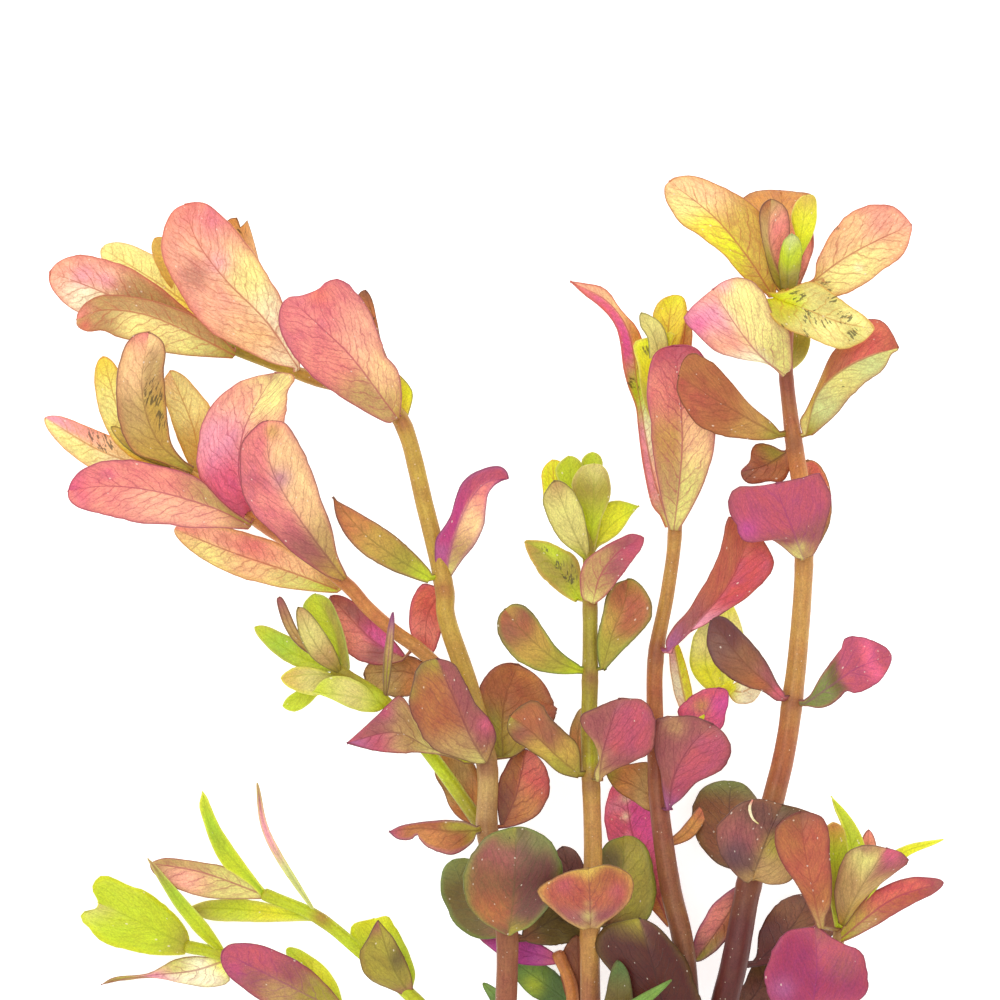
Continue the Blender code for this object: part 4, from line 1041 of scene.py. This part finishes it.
class ROTALA_OT_middle_stem(Operator):
    """The upright stem in the middle, with its leaves"""
    bl_idname = "rotala.middle_stem"
    bl_label = "Middle stem"

    def execute(self, context):
        stem("middle_stem", "stem_middle", "stem",
             "594,-99,15 591,-26,80 590,68,108 593,140,110 591,217,110 589,270,110 590,324,110 590,395,112 "
             "589,445,116 582,486,120", (1.05, 1.0, 0.95, 0.88, 0.8, 0.72, 0.6),
             "russet russet honey honey olive olive olive", (2, 4, 6, 7),
             "591,322,8,brown 590,214,9,brown 592,398,6,rust 597,254,7,fresh 592,240,7,lime")
        leaves("small_middle", "stem_middle", MIDDLE_SMALL_LEAVES)
        leaves("leaf_middle", "stem_middle", MIDDLE_LEAVES)
        return {"FINISHED"}


SHORT_SMALL_LEAVES = (
    ("magenta", "562,38,70 520,50,62 474,73,56", (1.4, 1.4, OVAL), "rose magenta magenta rose"),
    ("green", "572,-6,62 545,14,34 512,37,1", (1.7, 1.7, OVAL), "dark_green dark_green moss dark_green",
     dict(edge="dark_green", spots="534,12,10,lime")),
    ("green", "570,-32,52 526,-26,36 483,15,22", (0.9, 0.9, OVAL), "dark_green dark_green moss"),
    ("rust", "578,-28,52 579,16,60 577,64,72", "570,-10 562,16 560,38 566,54 / 586,-10 590,16 590,40 585,56",
     "brown russet russet brown", dict(edge="rust")),
)


class ROTALA_OT_short_stem(Operator):
    """A short shoot beside the foot of the middle stem, with low leaves"""
    bl_idname = "rotala.short_stem"
    bl_label = "Short stem"

    def execute(self, context):
        stem("short_stem", "stem_short", "rust", "562,-97,15 570,-30,54 572,10,66 558,46,72", SHOOT_RADII,
             "rust amber", (3,))
        leaves("small_short", "stem_short", SHORT_SMALL_LEAVES)
        return {"FINISHED"}


INNER_SMALL_LEAVES = (
    ("rust", "657,200,86 634,214,70 607,225,66", "651,188 632,199 616,210 / 650,235 632,236 616,232",
     "rust tan amber olive"),
    ("rust", "664,154,88 688,168,60 710,198,14", (0.7, 0.8, OVAL), "amber orange coral"),
    ("yellow", "663,610,94 667,660,98 672,705,96",
     "660,628 655,660 653,685 659,698 / 672,628 682,665 687,690 683,703", "gold yellow yellow lemon",
     dict(edge="gold")),
    ("olive", "662,610,96 656,656,114 641,687,114", "650,634 648,660 640,675 / 668,650 666,667 656,681",
     "olive straw straw"),
    ("lime", "666,564,94 652,610,110 656,664,108",
     "655,570 642,605 638,635 634,657 / 668,570 662,610 668,645 674,667", "lime olive lemon lemon",
     dict(edge="gold", specks="646,650,9")),
    ("peach", "666,600,92 682,650,82 687,690,78", (0.9, 0.9, OVAL), "orange orange tan"),
)
INNER_LEAVES = (
    ("maroon", "684,-46,89 666,-12,112 654,30,120 639,82,116",
     "662,-36 636,-18 620,6 613,26 602,40 595,54 603,73 620,79 / 700,-26 701,0 693,24 682,46 667,65 652,77",
     "brown chestnut chestnut chestnut olive",
     dict(right="chestnut chestnut chestnut chestnut cocoa", edge="dark_olive", rise=(-0.6, -0.6))),
    ("pink", "670,74,68 652,115,54 634,160,34 624,221,1", (2.5, 2.3, SPOON), "orange coral pink pink",
     dict(right="orange pink hot_pink hot_pink",
          spots="626,200,5,cream 626,182,4,cream 628,162,4,light_pink 616,192,8,light_pink")),
    ("rose", "669,191,106 674,224,124 690,254,132 713,276,130",
     "662,212 660,230 655,245 653,260 654,273 658,282 675,285 694,284 / 672,194 682,202 697,218 718,228 "
     "728,238 730,253 725,266", "mauve rosewood rosewood rosewood rosewood",
     dict(right="mauve rose rose rose rosewood", edge="cocoa", rise=(0.3, 0.3), spots="674,274,10,tan")),
    ("red", "669,349,103 698,378,112 729,417,114 751,468,110",
     "666,360 674,374 688,390 699,408 712,430 721,453 726,478 733,483 / 680,364 703,374 726,389 748,403 "
     "766,421 773,436 770,449 762,462", "mauve rosewood brick brick brick",
     dict(right="light_pink light_pink crimson crimson brick", edge="brick", rise=(0.6, 0.3), blend=0.15)),
    ("pink", "674,472,106 679,515,118 682,560,126 679,610,130 674,654,126", (3.2, 3.4, BLUNT),
     "straw tan honey salmon rose",
     dict(right="straw straw apricot salmon rose", edge="rose", rise=(0.6, 0.6))),
    ("peach", "669,474,82 652,530,76 638,610,80 629,666,88 608,698,92 570,719,94",
     "660,485 652,495 646,520 641,550 638,575 636,593 629,612 624,631 621,652 617,670 609,684 597,696 "
     "584,706 / 668,488 668,510 662,550 655,580 651,615 646,648 640,667 634,677 624,687 617,696 610,707 "
     "601,714 584,717", "straw light_pink light_pink lime hot_pink pink salmon",
     dict(right="straw peach cream lime orange apricot peach", edge="coral", rise=(0.4, 0.2),
          specks="632,614,11")),
)


class ROTALA_OT_inner_stem(Operator):
    """The stem to the right of the middle one, with its leaves"""
    bl_idname = "rotala.inner_stem"
    bl_label = "Inner stem"

    def execute(self, context):
        stem("inner_stem", "stem_inner", "stem",
             "668,-105,15 688,-34,64 684,50,88 671,110,90 662,170,90 658,213,90 655,280,90 656,345,90 "
             "668,410,90 675,470,92 672,540,92 664,620,94", (1.1, 1.05, 1.05, 0.95, 0.8, 0.68, 0.65, 0.5),
             "maroon cocoa brown russet rust honey honey olive", (5, 7, 9), "657,346,12,russet")
        leaves("small_inner", "stem_inner", INNER_SMALL_LEAVES)
        leaves("leaf_inner", "stem_inner", INNER_LEAVES)
        return {"FINISHED"}


PALE_SMALL_LEAVES = (
    ("magenta", "694,269,54 706,286,56 718,312,58",
     "682,278 678,290 689,301 703,310 / 706,260 722,272 726,284 729,298 728,309", "rose pink pink pink",
     dict(right="rose pink hot_pink pink", spots="702,294,8,gold")),
    ("lime", "720,304,48 706,338,40 712,382,36", (1.6, 1.6, OVAL), "lemon lemon pale_yellow pale_green",
     dict(edge="lime")),
    ("lime", "726,308,46 734,350,24 726,402,1", (1.2, 1.2, OVAL), "lemon pale_yellow pale_yellow lemon"),
    ("yellow", "728,310,46 744,308,38 761,318,34", (1.3, 1.3, OVAL), "lemon cream cream"),
    ("yellow", "693,268,54 682,315,46 673,362,42", (0.9, 0.9, OVAL), "peach cream light_pink",
     dict(right="lemon lemon lemon")),
)


class ROTALA_OT_pale_shoot(Operator):
    """A thin pale side shoot behind the others, with small leaves"""
    bl_idname = "rotala.pale_shoot"
    bl_label = "Pale shoot"

    def execute(self, context):
        stem("pale_shoot", "shoot_pale", "yellow", "669,226,74 690,264,56 714,298,48 732,314,46", THIN_RADII,
             "lime lemon", (2,))
        leaves("small_pale", "shoot_pale", PALE_SMALL_LEAVES)
        return {"FINISHED"}


RIGHT_SMALL_LEAVES = (
    ("maroon", "719,-22,72 756,4,50 770,46,28", (1.6, 1.8, ROUND), "dark_olive cocoa dark_olive"),
    ("maroon", "746,116,96 722,76,70 695,38,66", (1.4, 1.8, OVAL), "tan rust olive",
     dict(right="rosewood salmon rosewood", edge="mauve")),
    ("rust", "803,440,96 813,490,78 809,540,74", (2.4, 1.9, ROUND), "gold gold orange salmon",
     dict(right="tan rosewood coral coral", edge="gold")),
    ("maroon", "794,554,96 768,536,82 741,528,78",
     "785,521 768,518 748,517 / 784,549 773,554 760,557 752,551 750,539", "rosewood rust rust brown",
     dict(right="rosewood olive rust rosewood", edge="brick")),
    ("lime", "786,628,100 797,656,88 798,690,84", (1.2, 1.3, OVAL), "straw olive straw"),
    ("red", "787,702,124 784,755,76 782,811,1",
     "765,725 752,750 745,780 744,800 752,808 765,811 / 802,730 812,760 816,785 815,800 811,807 800,809",
     "gold orange orange orange", dict(right="gold coral orange orange", edge="rust")),
    ("rust", "786,708,128 769,756,164 770,800,164",
     "772,720 763,750 759,775 760,792 / 786,720 785,738 789,762 788,783 782,795", "olive olive tan rust",
     dict(right="olive salmon salmon tan", edge="brown")),
    ("lime", "788,708,128 799,756,150 806,804,150",
     "792,730 795,760 791,778 794,795 801,803 / 800,740 810,760 815,775 816,795 813,804",
     "lime lime lemon gold"),
    ("green", "787,710,128 787,738,174 791,765,180",
     "781,710 778,735 781,755 786,762 / 796,712 800,735 801,750 798,760", "olive olive lime pale_green"),
    ("red", "790,708,126 809,740,140 812,777,138",
     "795,715 799,736 803,750 810,762 / 799,714 808,736 813,753", "peach salmon coral"),
)


class ROTALA_OT_right_stem(Operator):
    """The tall stem on the right, with its small leaves"""
    bl_idname = "rotala.right_stem"
    bl_label = "Right stem"

    def execute(self, context):
        stem("right_stem", "stem_right", "stem",
             "722,-106,16 720,-30,70 735,40,94 750,120,100 772,196,100 785,250,100 792,297,100 799,360,100 "
             "804,440,100 801,510,100 794,557,100 786,626,104 787,670,114 787,714,128",
             (1.35, 1.35, 1.3, 1.15, 1.05, 0.95, 0.88, 0.88, 0.68, 0.6),
             "maroon chestnut maroon brown rust honey honey amber russet amber", (3, 6, 8, 10, 11),
             "793,556,12,brown 792,296,9,russet")
        leaves("small_right", "stem_right", RIGHT_SMALL_LEAVES)
        return {"FINISHED"}


# The curl of debris lies on the third of these leaves and is made after it
DEBRIS_AFTER = 3
RIGHT_LEAVES = (
    ("maroon", "756,36,74 780,58,54 800,82,28 812,106,1",
     "757,45 760,67 770,86 787,101 / 790,40 815,50 838,68 842,85 832,100 820,108",
     "maroon maroon brown maroon"),
    ("maroon", "744,132,78 734,156,58 730,186,32 732,218,1", (3.8, 3.2, ROUND), "cocoa brown brown sage",
     dict(right="brown brown brown sage", edge="dark_olive")),
    ("maroon", "752,122,122 760,146,142 770,172,152 782,196,150",
     "748,117 737,124 725,138 718,152 716,168 718,178 729,190 743,198 757,202 770,200 / 770,116 786,118 "
     "796,128 806,150 812,168 816,184 800,192", "tan cocoa rosewood cocoa brown",
     dict(right="tan tan olive cocoa dark_olive", edge="brown", rise=(0.4, 0.2),
          spots="734,148,16,plum 776,134,14,tan")),
    ("rust", "782,302,117 765,319,126 742,340,130 711,380,124",
     "775,300 762,309 748,313 730,322 715,336 707,351 707,365 / 785,306 777,317 769,333 760,347 746,363 "
     "733,376 722,384", "rosewood rust brown cocoa maroon",
     dict(right="rosewood rosewood brown maroon maroon", edge="plum", rise=(-0.3, 0.5),
          spots="778,308,7,pink")),
    ("magenta", "806,297,114 830,314,132 856,332,138 891,345,120",
     "811,307 821,325 834,343 841,353 844,362 853,364 866,362 884,354 / 819,292 830,295 839,302 846,309 "
     "855,307 867,311 880,320 889,334", "sage sage sage dark_olive rose rose pink rose rose",
     dict(edge="rose")),
    ("magenta", "803,443,120 790,476,146 780,500,160 775,517,162",
     "794,443 780,455 767,462 753,458 741,461 735,476 729,494 729,507 737,513 755,514 / 812,444 819,456 "
     "826,480 830,500 828,514 818,526 800,522", "straw rosewood rose rose rose",
     dict(right="tan rosewood rose rose rose", edge="rosewood", rise=(0.3, 0.3),
          spots="746,470,12,magenta 799,454,6,straw")),
    ("red", "806,566,106 818,606,124 841,629,134 868,643,134 898,652,126",
     "800,580 806,590 818,616 828,639 836,652 855,674 876,680 888,673 / 814,566 834,584 848,600 863,616 "
     "882,630 891,645", "straw ochre rust coral brick",
     dict(right="olive pale_green straw pale_green straw", edge="brick", rise=(-0.8, -0.8), blend=0.06,
          specks="844,615,4")),
    ("rust", "778,565,108 750,580,132 716,600,150 678,624,158",
     "770,560 750,560 723,564 701,573 685,589 677,608 / 770,579 750,595 732,616 719,631 708,640 693,647 "
     "683,640", "olive honey rust brick brick",
     dict(right="olive honey rust rust rust", edge="rust", rise=(0.4, 0.4))),
    ("pink", "784,626,124 758,646,146 734,676,162 712,710,158",
     "777,628 766,637 752,639 735,642 715,648 700,662 684,679 690,691 700,701 / 791,630 792,640 791,652 "
     "789,667 781,678 771,689 763,704 754,717 745,721 735,722 722,718", "straw cream peach light_pink peach",
     dict(right="straw straw butter butter peach", edge="rose", rise=(0.3, 0.3),
          spots="698,675,10,hot_pink 724,714,9,light_pink")),
    ("yellow", "774,702,146 806,690,158 840,677,162 873,671,152",
     "766,707 778,707 790,710 799,715 806,718 814,717 822,713 834,704 850,693 865,682 / 763,700 768,688 "
     "776,677 787,670 803,664 815,659 828,653 843,651 856,655 866,661",
     "lemon lime straw straw butter butter",
     dict(right="lemon olive straw butter straw butter", edge="gold", rise=(0.5, 0.3),
          spots="786,693,15,lemon",
          specks="798,706,12 809,682,12 804,666,7 832,702,8 844,682,10 852,665,10 784,674,6 824,676,7")),
    ("peach", "806,713,128 840,739,132 872,757,130 911,775,120",
     "814,722 816,738 823,753 831,767 843,781 856,790 871,795 887,795 899,789 / 826,702 834,703 846,706 "
     "856,711 868,718 881,728 897,740 906,751 910,762", "gold apricot apricot peach peach",
     dict(right="gold butter butter apricot peach", edge="coral", rise=(0.3, 0.3), spots="858,732,4,cream",
          specks="826,712,10 836,772,5")),
    ("peach", "772,704,131 746,744,144 714,782,146 669,818,134",
     "766,705 748,718 737,728 722,746 700,762 683,774 672,788 665,800 664,812 / 776,710 780,730 776,754 "
     "768,775 752,795 735,806 715,816 700,822 688,824 675,822", "ochre gold lemon yellow butter apricot",
     dict(right="ochre gold gold apricot apricot", edge="orange", rise=(0.3, 0.3), spots="732,726,12,lemon")),
)


class ROTALA_OT_right_leaves(Operator):
    """The broad leaves of the right stem, from its foot to its tip"""
    bl_idname = "rotala.right_leaves"
    bl_label = "Right leaves"

    def execute(self, context):
        leaves("leaf_right", "stem_right", RIGHT_LEAVES[:DEBRIS_AFTER])
        stem("leaf_debris", "leaf_right_03", "yellow",
             "752,201,157 749,194,159 750,187,158.5 753,181,157.5 758,177,155", (0.07, 0.16, 0.12, 0.05),
             "salmon cream cream butter")
        leaves("leaf_right", "stem_right", RIGHT_LEAVES[DEBRIS_AFTER:], DEBRIS_AFTER + 1)
        return {"FINISHED"}


SHOOT_SMALL_LEAVES = (
    ("lime", "839,72,116 835,125,120 833,178,118",
     "830,100 828,130 826,155 824,170 / 852,105 853,130 848,155 843,172", "lime olive lime orange"),
    ("lime", "843,82,118 852,150,120 831,204,110",
     "850,120 848,140 846,155 841,176 835,190 / 862,120 866,140 864,155 860,167 853,180 843,192",
     "lime lime lime", dict(edge="lemon")),
    ("lime", "843,82,118 894,142,124 943,161,116", (0.8, 0.8, LANCE), "lime lemon lemon"),
    ("rust", "843,80,116 864,130,108 869,170,102", (1.1, 1.2, OVAL), "tan orange salmon"),
    ("olive", "842,76,118 858,110,150 886,153,158",
     "835,95 834,110 836,126 841,139 848,150 863,156 / 856,92 866,104 876,114 889,124 901,133 908,140 "
     "901,148", "ochre tan tan straw tan",
     dict(right="olive ochre tan rosewood rose", edge="rosewood",
          spots="890,146,10,pink 866,152,7,rosewood")),
    ("pink", "836,58,114 890,100,122 943,118,110", (1.6, 1.4, OVAL), "lime ochre coral coral rosewood",
     dict(right="lime tan brick brick rosewood", edge="rosewood")),
)
SHOOT_LEAVES = (
    ("magenta", "806,-32,110 812,-4,132 816,32,144 814,74,142",
     "785,-20 768,5 764,25 767,38 776,59 787,70 / 835,-20 858,0 867,15 866,32 860,50 845,56 829,65 819,73",
     "rosewood raspberry raspberry raspberry rose",
     dict(right="rosewood rose raspberry rose rosewood", edge="rose", rise=(0.4, 0.4),
          spots="782,12,12,mauve 844,34,16,rosewood")),
    ("red", "820,74,152 811,115,168 803,155,176 799,189,174",
     "812,84 802,105 793,121 781,138 774,158 775,172 783,182 / 825,85 830,97 831,118 829,143 828,170 "
     "823,182 814,187", "tan rust brick rust brown",
     dict(right="tan rust brick brick brown", edge="maroon", rise=(0.3, 0.3), spots="828,73,8,olive")),
)


class ROTALA_OT_right_shoot(Operator):
    """A side shoot from the foot of the right stem, with its leaves"""
    bl_idname = "rotala.right_shoot"
    bl_label = "Right shoot"

    def execute(self, context):
        stem("right_shoot", "shoot_right", "olive",
             "749,-105,16 780,-56,64 804,-18,90 830,30,108 842,78,110", SHOOT_RADII, "olive olive tan",
             (2, 4))
        leaves("small_shoot", "shoot_right", SHOOT_SMALL_LEAVES)
        leaves("leaf_shoot", "shoot_right", SHOOT_LEAVES)
        return {"FINISHED"}


UPPER_SMALL_LEAVES = (
    ("lime", "265,104,52 214,164,70 202,208,70",
     "250,114 235,125 222,134 211,155 203,178 199,194 / 262,112 248,131 231,155 219,174 211,192 207,202",
     "fresh lime fresh lime", dict(edge="lemon")),
    ("pink", "264,104,52 204,126,48 150,136,40",
     "250,100 223,100 202,102 182,108 164,117 152,127 / 248,120 224,133 206,136 182,140 164,141",
     "straw straw peach tan", dict(right="straw straw tan tan", edge="tan")),
    ("lime", "315,82,52 244,89,30 187,91,24",
     "300,78 275,77 240,77 213,78 199,82 / 300,88 270,95 240,100 213,99 199,96", "lime lemon lime olive",
     dict(edge="straw")),
    ("lime", "317,83,54 269,162,90 257,217,94", (0.4, 0.35, OVAL),
     "pale_green pale_green light_pink rosewood"),
    ("lime", "409,5,56 396,40,40 373,80,34",
     "385,15 365,45 352,59 349,69 355,76 / 412,10 415,25 410,42 402,60 392,78 386,83", "lime lime lemon"),
    ("olive", "410,4,59 392,34,86 378,79,86",
     "395,8 368,21 361,35 360,49 368,62 374,74 / 413,10 411,25 404,43 394,61 384,73",
     "rosewood olive olive olive rosewood",
     dict(right="rosewood olive dark_olive olive olive", edge="brown")),
)
LOWER_SMALL_LEAVES = (
    ("lime", "187,52,26 140,76,30 97,96,22",
     "184,44 164,43 143,45 122,49 101,58 87,69 79,80 82,87 92,88 / 187,66 178,80 161,96 143,108 122,117 "
     "105,122 94,119 90,110", "olive lime lime straw", dict(right="olive lime lime lime", edge="lemon")),
    ("lime", "222,46,27 183,92,50 147,141,52", (0.75, 0.75, LANCE), "lime lime fresh rosewood"),
    ("pink", "224,38,25 190,27,8 144,22,3 99,13,1",
     "228,16 206,11 182,14 161,19 141,20 113,18 / 210,41 192,42 175,39 161,32 144,24 113,21",
     "lemon cream cream light_pink olive brown",
     dict(right="lemon cream straw light_pink olive brown", edge="straw")),
    ("magenta", "342,-15,27 280,18,64 222,48,68", (2.6, 2.6, ROUND), "olive olive tan rosewood rose",
     dict(right="olive olive rosewood rose rose", edge="rose", spots="236,30,8,cerise")),
    ("lime", "342,-15,25 320,18,10 286,50,1", (1.3, 1.2, OVAL), "lime lemon lime"),
)


class ROTALA_OT_runners(Operator):
    """Two low shoots that run out to the left from the foot of the plant"""
    bl_idname = "rotala.runners"
    bl_label = "Runners"

    def execute(self, context):
        stem("upper_runner", "runner_upper", "olive",
             "484,-99,15 452,-40,46 411,3,58 362,46,56 317,82,54 264,105,52", SHOOT_RADII,
             "olive lime lime lime", (2, 4, 5), "322,82,9,rust")
        leaves("small_upper", "runner_upper", UPPER_SMALL_LEAVES)
        stem("lower_runner", "runner_lower", "olive",
             "464,-98,16 410,-54,24 340,-14,26 270,22,26 220,44,26 186,52,26", SHOOT_RADII,
             "olive olive lime lime", (2, 4, 5))
        leaves("small_lower", "runner_lower", LOWER_SMALL_LEAVES)
        return {"FINISHED"}


class ROTALA_OT_studio(Operator):
    """A pale floor, light from all round, one large soft lamp and a camera that looks straight down"""
    bl_idname = "rotala.studio"
    bl_label = "Studio"

    def execute(self, context):
        scene = context.scene
        studio = scene.rotala_studio
        bm = bmesh.new()
        bmesh.ops.create_grid(bm, x_segments=1, y_segments=1, size=FLOOR_REACH)
        mesh = bpy.data.meshes.new("floor")
        bm.to_mesh(mesh)
        bm.free()
        pale = bpy.data.materials.new("pale_floor")
        pale.use_nodes = True
        nodes = Nodes(pale.node_tree)
        surface = pale.node_tree.nodes["Principled BSDF"]
        grain = nodes.noise(nodes.add("TexCoord").outputs["Object"], FLOOR_GRAIN)
        white = (*studio.floor_colour, 1.0)
        nodes.feed(surface.inputs["Base Color"],
                   nodes.mix(nodes.math("MULTIPLY", grain, FLOOR_GRAIN_SHARE), white, BLACK))
        surface.inputs["Roughness"].default_value = FLOOR_ROUGHNESS
        surface.inputs["Emission Color"].default_value = WHITE
        surface.inputs["Emission Strength"].default_value = studio.floor_glow
        mesh.materials.append(pale)
        floor = bpy.data.objects.new("floor", mesh)
        scene.collection.objects.link(floor)

        sky = bpy.data.worlds.new("soft light")
        sky.use_nodes = True
        sky.node_tree.nodes["Background"].inputs["Color"].default_value = WHITE
        sky.node_tree.nodes["Background"].inputs["Strength"].default_value = studio.sky
        scene.world = sky

        lamp = bpy.data.lights.new("large lamp", "AREA")
        lamp.size = LAMP_SIZE
        lamp.energy = studio.key
        lamp_thing = bpy.data.objects.new("large lamp", lamp)
        lamp_thing.location = LAMP_PLACE
        lamp_thing.rotation_euler = Vector(LAMP_PLACE).to_track_quat("Z", "Y").to_euler()
        scene.collection.objects.link(lamp_thing)

        camera = bpy.data.cameras.new("camera")
        camera.sensor_width = SENSOR
        camera.lens = studio.lens
        camera.clip_end = CAMERA_REACH
        camera_thing = bpy.data.objects.new("camera", camera)
        aim = to_world(PHOTO_CENTRE)
        camera_thing.location = aim + Vector((0, 0, PHOTO_WIDTH * studio.lens / SENSOR))
        scene.collection.objects.link(camera_thing)
        scene.camera = camera_thing
        scene.view_settings.view_transform = "Standard"
        scene.cycles.max_bounces = MOST_BOUNCES
        scene.cycles.diffuse_bounces = SURFACE_BOUNCES
        scene.cycles.glossy_bounces = SURFACE_BOUNCES
        return {"FINISHED"}


OPERATORS = (
    ROTALA_OT_creeping_stem,
    ROTALA_OT_left_stem,
    ROTALA_OT_left_leaves,
    ROTALA_OT_left_branch,
    ROTALA_OT_green_shoot,
    ROTALA_OT_middle_stem,
    ROTALA_OT_short_stem,
    ROTALA_OT_inner_stem,
    ROTALA_OT_pale_shoot,
    ROTALA_OT_right_stem,
    ROTALA_OT_right_leaves,
    ROTALA_OT_right_shoot,
    ROTALA_OT_runners,
    ROTALA_OT_studio,
)
SETTINGS = {
    "rotala_leaf": LeafSizes, "rotala_stem": StemSizes, "rotala_colour": PlantColours,
    "rotala_studio": StudioSettings,
}


class ROTALA_PT_panel(Panel):
    """Lists the pieces of the plant in the order that they grow in, and its main sizes"""
    bl_label = "Rotala"
    bl_space_type = "VIEW_3D"
    bl_region_type = "UI"
    bl_category = "Rotala"

    def draw(self, context):
        for piece in OPERATORS:
            self.layout.operator(piece.bl_idname)
        for key, group in SETTINGS.items():
            for name in group.__annotations__:
                self.layout.prop(getattr(context.scene, key), name)


def register():
    for made in (*SETTINGS.values(), *OPERATORS, ROTALA_PT_panel):
        bpy.utils.register_class(made)
    for key, group in SETTINGS.items():
        setattr(bpy.types.Scene, key, PointerProperty(type=group))


def unregister():
    for key in SETTINGS:
        delattr(bpy.types.Scene, key)
    for made in (ROTALA_PT_panel, *reversed(OPERATORS), *reversed(SETTINGS.values())):
        bpy.utils.unregister_class(made)


def main():
    register()
    for piece in OPERATORS:
        family, name = piece.bl_idname.split(".")
        getattr(getattr(bpy.ops, family), name)()


if __name__ == "__main__":
    main()
